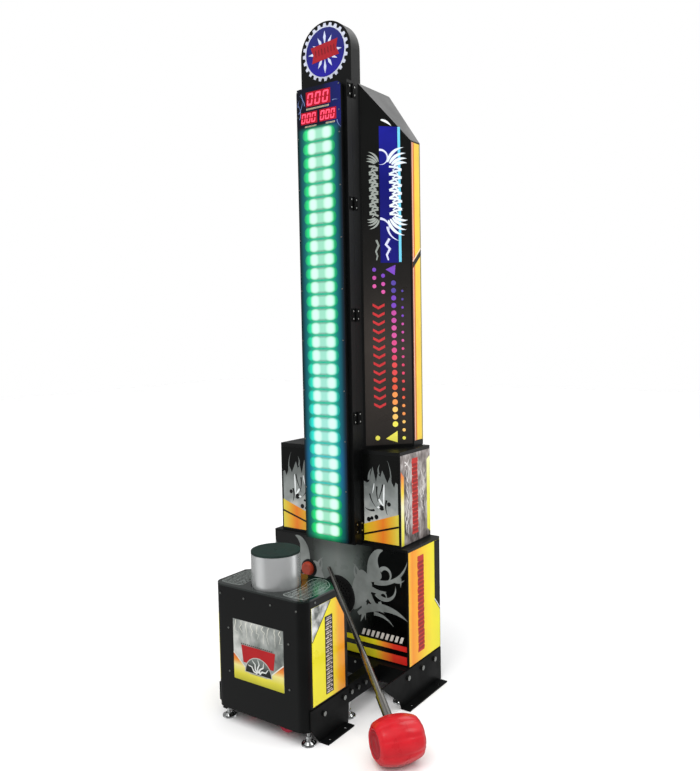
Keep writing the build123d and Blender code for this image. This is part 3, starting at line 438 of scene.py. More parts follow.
def add_camera():
    data = bpy.data.cameras.new("camera")
    data.sensor_fit = "VERTICAL"
    data.sensor_height = CAMERA_SENSOR
    data.lens = CAMERA_LENS
    data.clip_end = 100.0
    yaw, pitch, roll = (math.radians(angle) for angle in CAMERA_TURN)
    forward = Vector((-math.sin(yaw) * math.cos(pitch), math.cos(yaw) * math.cos(pitch), -math.sin(pitch)))
    level = Vector((math.cos(yaw), math.sin(yaw), 0))
    upward = level.cross(forward)
    right = level * math.cos(roll) + upward * math.sin(roll)
    up = upward * math.cos(roll) - level * math.sin(roll)
    camera = bpy.data.objects.new("camera", data)
    turn = Matrix((right, up, -forward)).transposed().to_4x4()
    camera.matrix_world = Matrix.Translation(CAMERA_SPOT) @ turn
    show(camera)
    bpy.context.scene.camera = camera


def add_floor():
    bm = bmesh.new()
    bmesh.ops.create_grid(bm, x_segments=24, y_segments=24, size=FLOOR_HALF)
    mesh = bpy.data.meshes.new("floor")
    bm.to_mesh(mesh)
    bm.free()
    floor = bpy.data.objects.new("floor", mesh)
    floor.location.z = -FLOOR_DROP
    show(floor)
    paint = finish("floor_paint", "F4F4F4", 0.75, drift=0.012, patch=1.5, grain=60.0, bump=0.02)
    mesh.materials.append(paint)
    floor.visible_glossy = False


def add_softbox(name, spot, size, watts):
    data = bpy.data.lights.new(name, "AREA")
    data.shape = "SQUARE"
    data.size = size
    data.energy = watts
    lamp = bpy.data.objects.new(name, data)
    lamp.location = spot
    lamp.rotation_euler = (Vector(LIGHT_AIM) - Vector(spot)).to_track_quat("-Z", "Y").to_euler()
    show(lamp)


def add_light():
    add_softbox("key", (0.4, -3.6, 4.8), 2.2, 40)
    add_softbox("fill", (4.2, 1.0, 3.6), 2.0, 40)
    add_softbox("back", (0.2, 3.4, 4.3), 2.5, 45)
    data = bpy.data.lights.new("sky", "SUN")
    data.energy = 2.3
    data.angle = math.radians(70)
    sky = bpy.data.objects.new("sky", data)
    sky.rotation_euler = (math.radians(24), math.radians(8), 0)
    sky.visible_glossy = False
    show(sky)
    bpy.context.scene.world = studio_world()
    bpy.context.scene.view_settings.view_transform = "Standard"


def studio_world():
    """White room. Glossy surfaces mirror it darker, with one tall reflector behind and one in front."""
    world = bpy.data.worlds.new("studio")
    world.use_nodes = True
    tree = world.node_tree
    link = tree.links.new
    white = (1, 1, 1, 1)
    seen = tree.nodes["Background"]
    seen.inputs["Color"].default_value = white
    soft = tree.nodes.new("ShaderNodeBackground")
    soft.inputs["Color"].default_value = white
    soft.inputs["Strength"].default_value = 0.5
    mirrored = tree.nodes.new("ShaderNodeBackground")
    mirrored.inputs["Color"].default_value = white

    split = tree.nodes.new("ShaderNodeSeparateXYZ")
    link(tree.nodes.new("ShaderNodeTexCoord").outputs["Generated"], split.inputs[0])
    x, y, z = split.outputs
    level = math_node(tree, "SUBTRACT", 1.0, math_node(tree, "MULTIPLY", z, z))
    flat = math_node(tree, "MAXIMUM", math_node(tree, "SQRT", level), 0.05)
    strength = 0.3
    for degrees, gain, narrow in REFLECTORS:
        across = math_node(tree, "MULTIPLY", x, math.cos(math.radians(degrees)))
        ahead = math_node(tree, "MULTIPLY", y, math.sin(math.radians(degrees)))
        facing = math_node(tree, "DIVIDE", math_node(tree, "ADD", across, ahead), flat)
        reflector = tree.nodes.new("ShaderNodeMapRange")
        reflector.interpolation_type = "SMOOTHSTEP"
        link(facing, reflector.inputs["Value"])
        reflector.inputs["From Min"].default_value = narrow
        reflector.inputs["To Max"].default_value = gain
        strength = math_node(tree, "ADD", reflector.outputs[0], strength)
    link(strength, mirrored.inputs["Strength"])

    path = tree.nodes.new("ShaderNodeLightPath")
    shader = soft
    for ray, other in (("Is Glossy Ray", mirrored), ("Is Camera Ray", seen)):
        mix = tree.nodes.new("ShaderNodeMixShader")
        link(path.outputs[ray], mix.inputs[0])
        link(shader.outputs[0], mix.inputs[1])
        link(other.outputs[0], mix.inputs[2])
        shader = mix
    link(shader.outputs[0], tree.nodes["World Output"].inputs["Surface"])
    return world


# ---- materials of the CAD nodes ----
def metal_and_plastic():
    sheet = finish("black_sheet", "0C0D0D", 0.36, drift=0.3, patch=5.0, spread=0.08, grain=900.0, bump=0.12,
                   Specular_IOR_Level=0.16)
    wear("lower_cabinet_shell shoulder_box_shell led_column_shell tower_wing_shell tower_rear_panel "
         "led_door_frame rear_service_door strike_box_shell", sheet)
    satin = finish("black_plate", "0A0B0B", 0.5, drift=0.35, patch=14.0, spread=0.1, grain=600.0, bump=0.12,
                   Specular_IOR_Level=0.07)
    wear("floor_brackets base_beams rear_castor_brackets strike_base_plate strike_cross_frame "
         "fixed_hinge_leaves door_hinge_leaves rear_door_hinge_leaves", satin)
    gloss = finish("top_plate_black", "0A1411", 0.13, drift=0.25, patch=10.0, spread=0.05, grain=900.0,
                   bump=0.05, Coat_Weight=0.4, Coat_Roughness=0.05)
    wear("strike_top_plate", gloss)
    zinc = finish("zinc_steel", "7C7E7B", 0.33, drift=0.16, patch=120.0, spread=0.1, grain=1800.0, bump=0.15,
                  Metallic=1.0)
    wear("bolts_and_screws door_front_screws anvil_shaft castor_fork_left castor_fork_right "
         "castor_mount_plates impact_sensor led_door_lock_cam rear_door_lock_cam power_supply", zinc)
    return_spring(zinc)
    chrome = finish("chrome_parts", "C9CBCB", 0.14, drift=0.08, patch=60.0, spread=0.05, grain=400.0,
                    bump=0.03, Metallic=1.0)
    wear("levelling_feet led_door_lock_barrel rear_door_lock_barrel", chrome)
    steel = finish("handle_steel", "84827E", 0.24, drift=0.16, patch=16.0, spread=0.06, grain=1500.0,
                   bump=0.05, Metallic=1.0)
    wear("hammer_handle", steel)
    brass = finish("bush_brass", "B08A45", 0.3, drift=0.2, patch=60.0, Metallic=1.0)
    wear("anvil_guide_bush", brass)
    drum = finish("anvil_aluminium", "D2D4D4", 0.24, drift=0.04, patch=12.0, spread=0.02, grain=40.0,
                  bump=0.004, stretch=(0.3, 0.3, 60), Metallic=0.72, Anisotropic=0.4)
    wear("anvil_drum", drum)

    plastic = finish("black_plastic", "121212", 0.42, drift=0.12, patch=40.0, grain=1600.0, bump=0.25)
    wear("speaker_grille speaker_driver start_button_bezel start_button_switch mains_inlet", plastic)
    wear("mains_rocker", finish("rocker_red", "8E1512", 0.3, grain=900.0, Coat_Weight=0.3))
    button = finish("button_red", "9C3722", 0.3, drift=0.12, patch=60.0, grain=500.0, bump=0.05,
                    Coat_Weight=0.25, Coat_Roughness=0.2)
    wear("start_button_plunger", button)
    for wheels, name in (("castor_wheel", "castor_tyre"), ("rear_wheel", "rear_castor_tyre")):
        tyre = finish(name, "B81F3E", 0.4, drift=0.14, patch=60.0, grain=1200.0, bump=0.2, Coat_Weight=0.15)
        wear("%s_left %s_right" % (wheels, wheels), tyre)
    pad = Surface("pad_rubber")
    specks = pad.span(pad.noise(900.0, 1.0), 0.6, 0.8)
    rubber = pad.blend(specks, rgb("1D2C28"), rgb("2B3B36"))
    wear("anvil_rubber_pad", pad.dress(rubber, 0.62, drift=0.2, patch=25.0, grain=500.0, bump=0.3))
    board = Surface("circuit_board")
    tracks = board.span(board.noise(160.0, 1.0, (1, 6, 1)), 0.56, 0.58)
    wear("control_board", board.dress(board.blend(tracks, rgb("0E4A2A"), rgb("2F8A55")), 0.4))
    wear("led_light_board", finish("light_board", "DDE3E0", 0.5, drift=0.1, patch=60.0))


# ---- light door ----
BAR_FIRST = 620.7  # height of the lowest bar's middle
BAR_PITCH = 50.57
BAR_STOPS = [(600, "12E070"), (760, "17E08C"), (840, "20E0BE"), (1010, "27E6DA"), (1180, "22DEC0"),
             (1420, "1EE09C"), (1760, "22E286"), (2112, "35E68A")]
LAMP_LEFT = (-30, 18, 21)  # middle along X, half width and half height of the glow behind a bar
LAMP_RIGHT = (38, 21, 21)


def lobe(s, across, height, centre, half_w, half_h):
    """Brightness of one lamp behind a bar: 1 in its middle, 0 outside its rounded square."""
    beside = s.math("ABSOLUTE", s.math("SUBTRACT", across, centre * MM))
    du = s.math("DIVIDE", beside, half_w * MM)
    dv = s.math("DIVIDE", s.math("ABSOLUTE", height), half_h * MM)
    far = s.math("ADD", s.math("POWER", du, 2.0), s.math("POWER", dv, 4.0))
    return s.span(far, 0.0, 1.7, 1.0, 0.0, smooth=True)


def lit_bars():
    lens = Surface("bar_lens_green")
    up = lens.math("ADD", lens.z, (BAR_PITCH / 2 - BAR_FIRST) * MM)
    row = lens.math("SUBTRACT", lens.math("FLOORED_MODULO", up, BAR_PITCH * MM), BAR_PITCH / 2 * MM)
    lamps = [lobe(lens, lens.x, row, *lamp) for lamp in (LAMP_LEFT, LAMP_RIGHT)]
    hot = lens.math("MAXIMUM", *lamps)
    tint = lens.run(lens.z, BAR_STOPS)
    rim = lens.span(lens.math("ABSOLUTE", row), 0.012, 0.0218, 1.0, 0.5, smooth=True)
    edge = lens.span(lens.side, 0.052, 0.0725, 1.0, 0.38, smooth=True)
    middle = lens.span(lens.side, 0.008, 0.040, 0.72, 0.0, smooth=True)
    shade = lens.math("MULTIPLY", rim, edge)
    body = lens.blend(1.0, lens.blend(middle, tint, rgb("BCE4D8")), shade, "MULTIPLY")
    glow = lens.blend(hot, body, rgb("E2FFF6"))
    lens.plug(glow, lens.shader.inputs["Emission Color"])
    green = lens.dress(rgb("0E3A2C"), 0.18, drift=0.05, grain=900.0, bump=0.04, Emission_Strength=1.0)
    wear("led_bar_lenses", green)


def door_panel():
    """Dark blue panel with the light of the bars beside it painted on as a glow, and dark again at its top.
    """
    navy = Surface("door_panel_navy")
    # Painted glow: the teal light of the bars, brightest in the middle and fading out towards the panel's
    # sides.
    colour = navy.run(navy.side, [(0, "3CBEC2"), (30, "5CCCC8"), (50, "30AEB2"), (66, "148494"),
                                  (74, "146A90"), (82, "12587E"), (92, "0C3246"), (99.4, "081418")])
    tint = navy.run(navy.z, [(600, "98F6A0"), (700, "C0FCC8"), (800, "F0FFF0"), (900, "FFFFFF"),
                             (990, "D8FCD0"), (1500, "D0F8C4"), (1900, "CCF4BC"), (2112, "C8ECB0")])
    # The painted glow fades out at the top of the panel and is dimmed at its foot.
    rise = navy.math("MULTIPLY", navy.span(navy.z, 2.100, 2.122, 1.0, 0.0, smooth=True),
                     navy.span(navy.z, 0.576, 0.600, 0.3, 1.0, smooth=True))
    colour = navy.blend(1.0, colour, tint, "MULTIPLY")
    navy.plug(navy.blend(1.0, colour, rise, "MULTIPLY"), navy.shader.inputs["Emission Color"])
    lower = navy.span(navy.z, 2.090, 2.130, 0.1, 1.0)
    ground = navy.run(navy.x, [(-99, "080A18"), (20, "0A0D26"), (60, "141A55"), (99, "161C62")])
    base = navy.blend(1.0, ground, lower, "MULTIPLY")
    wear("led_front_panel", navy.dress(base, 0.2, drift=0.1, grain=900.0, bump=0.03, Emission_Strength=1.0,
                                       Specular_IOR_Level=0.15))


# Displays: middle of the first digit, foot, width and height of a digit, stroke, step to the next digit.
DISPLAYS = ((-37, 2195, 25, 43, 6.0, 35), (-68, 2133.5, 18, 34, 4.6, 23), (18, 2133.5, 18, 34, 4.6, 23))
DIGIT_LEAN = 0.16


def digit(u, v, w, h, t, lean):
    """Seven-segment 0: its six lit segments, then its dark middle one."""
    g = t * 0.16

    def segment(cu, cv, half, flat):
        ends = [(-half + g, 0), (-half + t / 2 + g, t / 2), (half - t / 2 - g, t / 2), (half - g, 0),
                (half - t / 2 - g, -t / 2), (-half + t / 2 + g, -t / 2)]
        points = [(a, b) if flat else (b, a) for a, b in ends]
        return [(u + cu + a + lean * (cv + b - h / 2), v + cv + b) for a, b in points]

    lit = [segment(0, cv, w / 2, True) for cv in (t / 2, h - t / 2)]
    for cu in (-w / 2 + t / 2, w / 2 - t / 2):
        lit += [segment(cu, cv, h / 4, False) for cv in (h / 4, 3 * h / 4)]
    return lit, segment(0, h / 2, w / 2, True)


def displays():
    window = finish("score_window", "3A0208", 0.2, drift=0.1, patch=50.0, grain=900.0, bump=0.02,
                    Emission_Color=rgb("B80A22"), Emission_Strength=0.85)
    wear("score_display_modules", window)

    face = facing_front("score_display_modules", "score_red", "led_door")
    hot = ink("digit_red", "E8506A", Emission_Color=rgb("E83C5C"), Emission_Strength=0.75)
    dim = ink("digit_unlit", "5A0610", Emission_Color=rgb("A00A20"), Emission_Strength=0.8)
    lit, unlit = [], []
    for u, v, w, h, t, step in DISPLAYS:
        for i in range(3):
            on, off = digit(u + i * step, v, w, h, t, DIGIT_LEAN)
            lit += on
            unlit.append(off)
    art("score_digits", lit, face, 1, hot, mirror=False)
    art("score_segments_unlit", unlit, face, 1, dim, mirror=False)


def door_prints():
    """Small marks below the displays and curved lines beside them."""
    face = facing_front("led_front_panel", "door_panel_navy", "led_door")
    marks = [bar(-54 + i * 5.2, -50.6 + i * 5.2, 2178.5, 2184.5, 1.2) for i in range(20)]
    marks += [bar(34 + i * 6, 38 + i * 6, 2117, 2123, 1.0) for i in range(7)]
    marks += [bar(-62 + i * 6, -58 + i * 6, 2117, 2122, 1.0) for i in range(9)]
    art("score_label_marks", marks, face, 1, ink("label_beige", "B9AE93"), mirror=False)
    waves = [curl(-86, 2150, 66, 60, 70, 3.2), curl(-90, 2170, 50, 54, 40, 2.6),
             curl(-62, 2196, 96, 46, 50, 3.4), curl(-78, 2240, -60, 40, -50, 2.8),
             curl(-92, 2196, 100, 26, -60, 2.4), curl(64, 2196, 10, 26, -30, 3.4),
             curl(84, 2124, -80, 34, 50, 3.6)]
    art("door_wave_lines", waves, face, 1, ink("wave_blue", "6F82B4"), mirror=False)


def screws(name, places, axis, radius, height, body, material):
    """Low domed screw heads at places in mm, joined into one piece."""
    across = Vector((axis.y, axis.z, axis.x))
    profile = [(0, radius), (height * 0.5, radius * 0.96), (height * 0.85, radius * 0.7),
               (height, radius * 0.25)]
    heads = (lathe(name + "_head", profile, Vector(place) * MM, axis, across, 16) for place in places)
    return add_piece(joined(name, heads), body, material)


HINGE_HEIGHTS = (632.0, 1044.0, 1425.5, 1829.5, 2231.0)
HINGE_AXIS_Y = -96.25
HINGE_SCREW_FACE = 116.8
HINGE_SCREW_ASIDE = 15.5  # from the hinge axis
HINGE_SCREW_RISE = 14.0  # from the middle of a leaf
HINGE_SCREW_R = 3.4
HINGE_SCREW_DOME = 1.3


def hinge_screws():
    bright = finish("hinge_screw_zinc", "B4B6B2", 0.3, drift=0.1, patch=200.0, grain=1500.0, Metallic=1.0)
    for name, side, body in (("hinge_screws_column", 1, "cabinet"), ("hinge_screws_door", -1, "led_door")):
        y = HINGE_AXIS_Y + side * HINGE_SCREW_ASIDE
        heights = [z + rise for z in HINGE_HEIGHTS for rise in (-HINGE_SCREW_RISE, HINGE_SCREW_RISE)]
        places = [(HINGE_SCREW_FACE, y, z) for z in heights]
        screws(name, places, Vector((1, 0, 0)), HINGE_SCREW_R, HINGE_SCREW_DOME, body, bright)


# ---- head emblem ----
def turned(points, u, v, degrees):
    """Outline turned about its own zero and moved to (u, v)."""
    c, s = math.cos(math.radians(degrees)), math.sin(math.radians(degrees))
    return [(u + a * c - b * s, v + a * s + b * c) for a, b in points]


RAYS = 12
RAY_ROOT = 24
RAY_REACH = (76, 64, 64)  # tips of a long ray and the two short ones after it
RAY_HEAD = 22
RAY_HALF_W = 6
BANNER_TILT = 6  # degrees


def emblem():
    """Plain star of rays behind a plain banner with slashes."""
    blue = faded("emblem_blue", "z", [(2290, "1F17A0"), (2390, "17196F"), (2480, "24286F")], 0.25, drift=0.05,
                 Coat_Weight=0.15, Coat_Roughness=0.2)
    wear("head_emblem_disc", blue)
    wear("head_gear_ring", ink("emblem_white", "C8CCDC"))
    low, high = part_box("head_emblem_disc")
    z = (low.z + high.z) / 2 / MM
    rays = []
    for k in range(RAYS):
        tip = RAY_REACH[k % len(RAY_REACH)]
        shoulder = tip - RAY_HEAD
        ray = [(RAY_ROOT, 0), (shoulder, -RAY_HALF_W), (tip, 0), (shoulder, RAY_HALF_W)]
        rays.append(turned(ray, 0, z, 360 // RAYS * k))
    face = facing_front("head_emblem_disc", "emblem_white")
    art("emblem_white_points", rays, face, 1, ink("points_white", "CDD4EC"), mirror=False)
    face = facing_front("head_emblem_disc", "emblem_blue")
    banner = [(-62, -27), (62, -27), (53, 2), (62, 31), (-62, 31), (-53, 2)]
    art("emblem_banner", [turned(banner, 0, z + 1, BANNER_TILT)], face, 2, ink("banner_red", "A01E28"),
        mirror=False)
    slashes = [turned(bar(-43 + i * 14, -39 + i * 14, -9, 13), 0, z + 2, BANNER_TILT) for i in range(7)]
    art("emblem_banner_slashes", slashes, face, 3, ink("banner_dark", "6E141E"), mirror=False)


# ---- lower cabinet art ----
def lower_panels():
    front = Surface("lower_front_print_and_painted_light")
    # Painted light on the black ground: a grey highlight down the middle, as on a rounded front, shading off
    # into the black towards the sides and darker towards the bottom.
    grey = front.run(front.side, [(0, "8A918D"), (70, "6E7672"), (120, "2E3330"), (165, "0B0D0C"),
                                  (306, "070808")])
    base = front.blend(1.0, grey, front.span(front.z, 0.26, 0.45, 0.15, 1.0), "MULTIPLY")
    wear("lower_front_art_panel", front.dress(base, 0.3, drift=0.1, Coat_Weight=0.1, Coat_Roughness=0.1))
    side = faded("lower_side_print", "y", [(-76, "F3BE2A"), (-52, "F0921C"), (-22, "F2A21F"), (30, "F2C91F"),
                                           (90, "EFDD1D"), (156, "E6DE1A")], drift=0.05, Coat_Weight=0.06,
                 Coat_Roughness=0.15)
    wear("lower_side_art_panels", side)


def lower_front_art():
    """Silver scroll of one large mass, a horn and curls, above two stripes with dashes."""
    face = facing_front("lower_front_art_panel", "lower_art")
    film = Surface("scroll_silver")
    shine = film.ramp(film.noise(9.0, 3.0), [(0.32, "6C716E"), (0.62, "8A8F8C")])
    silver = film.dress(shine, 0.34, drift=0.08, patch=30.0, Coat_Weight=0.25, Coat_Roughness=0.1)
    mass = soften([(66, 300), (62, 352), (66, 402), (84, 440), (104, 468), (128, 462), (152, 436), (160, 404),
                   (148, 372), (132, 350), (112, 330), (92, 312)])
    horn = soften([(138, 424), (134, 470), (144, 520), (176, 556), (214, 557), (192, 540), (182, 514),
                   (190, 482), (206, 450), (176, 428)])
    scrolls = [mass, horn, curl(194, 474, 58, 100, -235, 17), curl(168, 430, -6, 190, 84, 22),
               curl(258, 446, -14, 46, 62, 12), curl(280, 462, -72, 36, -30, 10),
               curl(140, 404, -24, 84, 44, 25), curl(176, 386, -46, 128, 152, 21),
               curl(190, 384, 66, 52, -190, 14), curl(190, 356, -70, 48, 60, 14),
               curl(142, 374, -62, 92, 46, 26), curl(146, 336, -140, 70, 70, 14),
               curl(118, 344, -84, 84, -36, 26), curl(92, 292, 38, 236, -74, 30, leaf=True),
               curl(164, 306, 4, 96, -54, 15), curl(84, 322, 205, 60, 60, 15), curl(100, 440, 96, 56, 60, 14),
               curl(88, 430, 128, 56, -70, 12), disc(275.5, 453, 6), disc(99, 450, 10)]
    art("lower_front_scrolls", scrolls, face, 1, silver)
    ember = faded("stripe_print", "side", [(0, "E9DF22"), (165, "E8DC22"), (205, "EE8A2C"), (248, "DA3A26"),
                                           (306, "CF2320")], drift=0.06, Coat_Weight=0.05)
    art("lower_front_stripes", [bar(0, 306, 137, 168), bar(0, 306, 187, 207)], face, 1, ember)
    dashes = [bar(106 + i * 21, 118 + i * 21, 216, 240, 9) for i in range(9)]
    art("lower_front_dashes", dashes, face, 2, ink("dash_white", "C9C4BC"))


def lower_side_art():
    face = facing_side("lower_side_art_panels", "lower_art")
    red_band(face, "lower_side", -15, 36, 165, 530, "EDB41E")
    dark = ink("art_black", "0A0A0A", Specular_IOR_Level=0.08)
    art("lower_side_corner", [[(116, 558), (156, 558), (156, 280), (116, 326)]], face, 1, dark)
    line = ribbon([(116, 333, 3.5), (156, 287, 3.5)])
    art("lower_side_corner_line", [line], face, 2, ink("line_white", "E9EEF0"))


BAND_EDGE_STEPS = 40
BAND_BLOCK_PITCH = 15.5


def red_band(face, name, u0, u1, v0, v1, ground):
    """Upright red band of dark blocks, with notches in the colour of the ground behind it."""
    rnd = random.Random(name)
    rise = [(v1 - v0) * i / BAND_EDGE_STEPS for i in range(BAND_EDGE_STEPS + 1)]
    edge = [(u0 + rnd.uniform(0, 4), v0 + dv) for dv in rise]
    edge += [(u1 - rnd.uniform(0, 4), v1 - dv) for dv in rise]
    art(name + "_red_band", [edge], face, 1, ink(name + "_red", "BE2016"))
    blocks, notches = [], []
    for i in range(int((v1 - v0 - 10) / BAND_BLOCK_PITCH)):
        v = v0 + 8 + i * BAND_BLOCK_PITCH
        blocks.append(bar(u0 + 8, u1 - 12, v, v + 9.5, rnd.choice((-2, 2))))
        blocks.append(bar(u1 - 10, u1 - 5, v + 2, v + 10))
        start = u0 + rnd.uniform(-1, 1) if i % 2 else u1 - rnd.uniform(6, 9)
        notches.append(bar(start, start + 8, v + 10.5, v + 13.0))
    art(name + "_band_blocks", blocks, face, 2, ink(name + "_dark_red", "8A100E"))
    art(name + "_band_notches", notches, face, 3, ink(name + "_notch", ground))


# ---- shoulder art ----
def on_sides(film, node):
    """Factor that is 1 on the side faces of a node's panels and 0 on its front ones."""
    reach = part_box(node)[1].x
    return film.span(film.side, reach - 0.0012, reach - 0.0010)


def shoulder_art():
    dark = ink("shoulder_black", "0B0B0B")
    shoulder_panels()
    shoulder_front_art(dark)
    shoulder_side_art(dark)


def shoulder_panels():
    both = Surface("shoulder_print")
    cloud = both.math("MULTIPLY", both.noise(30.0, 7.0, (1, 1, 0.55)), 0.7)
    silver = both.ramp(both.math("ADD", cloud, both.math("MULTIPLY", both.z, 0.25)),
                       [(0.42, "453E3C"), (0.54, "8E8683"), (0.64, "BDB8B6")])
    colour = both.blend(on_sides(both, "shoulder_art_panels"), rgb("080908"), silver)
    wear("shoulder_art_panels", both.dress(colour, 0.3, drift=0.06, Specular_IOR_Level=0.12))


def shoulder_front_art(dark):
    """Torn-edged silver mass with dots and strokes, above a yellow and orange wedge."""
    face = facing_front("shoulder_art_panels", "shoulder_art")
    film = Surface("shoulder_silver")
    fog = film.math("MULTIPLY", film.noise(18.0, 3.0), 0.5)
    tone = film.ramp(film.math("ADD", fog, film.span(film.z, 0.64, 0.84, 0.5, 0.0)),
                     [(0.3, "6A6F6D"), (0.55, "8E9391"), (0.8, "C9CAC4")])
    mass = film.dress(tone, 0.32, drift=0.06, Coat_Weight=0.06)
    outline = [(122, 640), (271, 690), (271, 806), (262, 812), (255, 792), (246, 808), (238, 830), (226, 806),
               (212, 836), (204, 852), (196, 826), (184, 838), (176, 806), (162, 862), (152, 830), (146, 806),
               (136, 800), (122, 806)]
    art("shoulder_front_mass", [outline], face, 1, mass)
    tips = [curl(146, 812, 100, 46, -50, 12), curl(238, 800, 78, 92, 40, 7), curl(190, 836, 112, 40, -60, 8)]
    art("shoulder_front_tips", tips, face, 2, mass)
    holes = [disc(142, 662, 9), disc(156, 668, 7), disc(176, 674, 9), disc(200, 712, 11), disc(232, 728, 8)]
    holes += [curl(168, 700, 200, 46, -60, 9), curl(222, 742, 250, 58, 50, 8), curl(180, 790, 262, 60, 30, 7),
              curl(206, 800, 258, 76, -20, 6), curl(148, 760, 280, 56, 40, 6)]
    art("shoulder_front_shadows", holes, face, 2, dark)
    glints = [curl(212, 800, 266, 92, 6, 7, leaf=True), curl(188, 744, 300, 34, 20, 9, leaf=True),
              diamond(186, 712, 8, 5), curl(168, 800, 262, 40, -10, 4, leaf=True)]
    art("shoulder_front_glints", glints, face, 3, ink("glint_white", "E8ECEC"))
    heat = faded("wedge_print", "side", [(122, "DFC62A"), (170, "E5A32B"), (205, "E57A24"), (235, "E0A42C"),
                                         (273, "D9CC4A")], drift=0.05, Coat_Weight=0.05)
    art("shoulder_front_wedge", [[(120, 579), (273, 579), (273, 694), (120, 642)]], face, 2, heat)
    art("shoulder_front_wedge_line", [ribbon([(120, 603, 7), (273, 648, 7)])], face, 3, dark)


CRACKS = 14  # in each of the two fields beside the band
CRACK_BENDS = 4


def shoulder_side_art(dark):
    """Bright strips along both edges, and fine cracks on both sides of a red band."""
    face = facing_side("shoulder_art_panels", "shoulder_art")
    heat = faded("strip_print", "z", [(575, "E6DE3A"), (650, "EEE66A"), (720, "F2EFC4"), (770, "EFD23A"),
                                      (812, "F0A23A"), (852, "E8673A")], drift=0.04, Coat_Weight=0.05)
    art("shoulder_side_strip", [[(-67, 575), (-48, 575), (-46, 830), (-67, 852)]], face, 1, heat)
    pale = faded("pale_strip_print", "z", [(590, "E3DC2E"), (760, "EAE65E"), (884, "F3F3B8")], drift=0.04,
                 Coat_Weight=0.05)
    art("shoulder_side_rear_strip", [[(124, 604), (147, 588), (147, 884), (124, 872)]], face, 1, pale)
    red_band(face, "shoulder_side", 10, 57, 604, 890, "C9A79A")
    rnd = random.Random(4)
    cracks, shadows = [], []
    for u_home in (-20, 92):
        for k in range(CRACKS):
            u, v = u_home + rnd.uniform(-16, 16), 596 + rnd.uniform(0, 215)
            points = [(u, v, 1)]
            for i in range(CRACK_BENDS):
                u += rnd.uniform(-8, 8)
                v += rnd.uniform(8, 18)
                width = rnd.uniform(1.2, 4) if i < CRACK_BENDS - 1 else 0.5
                points.append((min(max(u, u_home - 24), u_home + 26), v, width))
            (shadows if k % 3 == 2 else cracks).append(ribbon(points))
    cracks += [curl(-40, 884, -20, 52, -50, 6), curl(-38, 870, 10, 44, 60, 5)]
    art("shoulder_side_cracks", cracks, face, 1, ink("crack_white", "E4E0DE"))
    art("shoulder_side_shadows", shadows, face, 1, dark)


# ---- wing art ----
def wing_panels():
    both = Surface("wing_print_and_painted_sheen")
    stripes = both.run(both.y, [(96, "B05A28"), (98, "E6B9A4"), (104, "D9772A"), (114, "F1CB45"),
                                (146, "F3D658"), (150, "B09A3A"), (156, "B09A3A")], steps=True)
    # The black wing front gets a painted brown-grey sheen, strongest in its lower part and fading to black
    # towards the top.
    painted_sheen_front = both.run(both.z, [(935, "2B2724"), (1300, "3A3430"), (1560, "201E1C"), (1800, "0A0B0A"),
                             (2200, "080908")])
    colour = both.blend(on_sides(both, "wing_art_panels"), painted_sheen_front, stripes)
    wear("wing_art_panels", both.dress(colour, 0.34, drift=0.08, Coat_Weight=0.1, Coat_Roughness=0.12))


def talons(u, v, side, up, reach):
    """Four claws that spring from (u, v), reach to one side and bend at their tips."""
    shapes = []
    for k in range(4):
        rise = math.radians(75 - 12 * k)
        heading = math.degrees(math.atan2(up * math.sin(rise), side * math.cos(rise)))
        root_u, root_v = u + side * reach * 0.09 * k, v - up * reach * 0.05 * k
        bend = -side * up * (70 - 5 * k)
        shapes.append(curl(root_u, root_v, heading, reach * (1 - 0.13 * k), bend, reach * 0.13, leaf=True))
    return shapes


def spine(u, v0, v1, half_w, count, width):
    """Column of bent bars, one above the other, on a jagged line."""
    step = (v1 - v0) / count
    shapes = []
    for i in range(count):
        v = v0 + step * (i + 0.5)
        tilt = half_w * (0.35 if i % 2 else -0.2)
        bent = [(u - half_w, v - tilt, width), (u, v + step * 0.25, width), (u + half_w, v + tilt, width)]
        shapes.append(ribbon(bent))
    return shapes + [zigzag(u, v0, v1, half_w * 0.4, width, count)]


# Name of the piece, root of its claws, side they reach to, reach, middle and half width of its bars, colour.
CLAW_SETS = (("wing_claws_white", 108, 1, 88, 137, 24, "E4EEF8"),
             ("wing_claws_grey", 72, -1, 54, 53, 17, "9AA09A"))
CLAW_LIMITS = (9, 190)  # the strokes stop here, short of both edges of the wing front


def wing_claws():
    """Blue field with claw-like strokes, bent bars and loops."""
    blue = faded("wing_blue_print", "z", [(1619, "121170"), (1850, "0C0E68"), (2119, "14188C")], 0.35,
                 Coat_Weight=0.1)
    art("wing_blue_band", [bar(76, 145, 1619, 2117)], WING_FACE, 1, blue)
    # The cyan line is print with a faint painted glow.
    cyan = ink("wing_cyan", "6CC4E0", Emission_Color=rgb("6CC4E0"), Emission_Strength=0.15)
    art("wing_cyan_line", [bar(147, 157, 1622, 2117)], WING_FACE, 1, cyan)
    near, far = CLAW_LIMITS
    for name, root, side, reach, middle, half, code in CLAW_SETS:
        shapes = talons(root, 1988, side, 1, reach) + talons(root, 1776, side, -1, reach)
        shapes += spine(middle, 1786, 1974, half, 13, 7)
        shapes = [[(min(max(a, near), far), b) for a, b in shape] for shape in shapes]
        art(name, shapes, WING_FACE, 2, ink(name + "_print", code))
    loops = [curl(76, 2031, 4, 96, -205, 8), curl(76, 1781, -4, 62, -96, 9), curl(104, 1752, -84, 74, 76, 9),
             ribbon([(111, 1708, 9), (97, 1686, 11), (112, 1670, 10), (100, 1648, 8), (106, 1628, 5)])]
    art("wing_loops", loops, WING_FACE, 2, ink("loop_white", "D9DCF6"))
    tail = ribbon([(60, 1702, 8), (69, 1682, 8), (58, 1660, 7), (64, 1644, 6), (60, 1628, 4)])
    art("wing_tail_grey", [tail], WING_FACE, 2, ink("tail_grey", "8B918B"))
    flash = curl(84, 2140, -8, 46, -42, 9, leaf=True)
    art("wing_flash", [flash], WING_FACE, 1, ink("flash_white", "EEF3F4"))


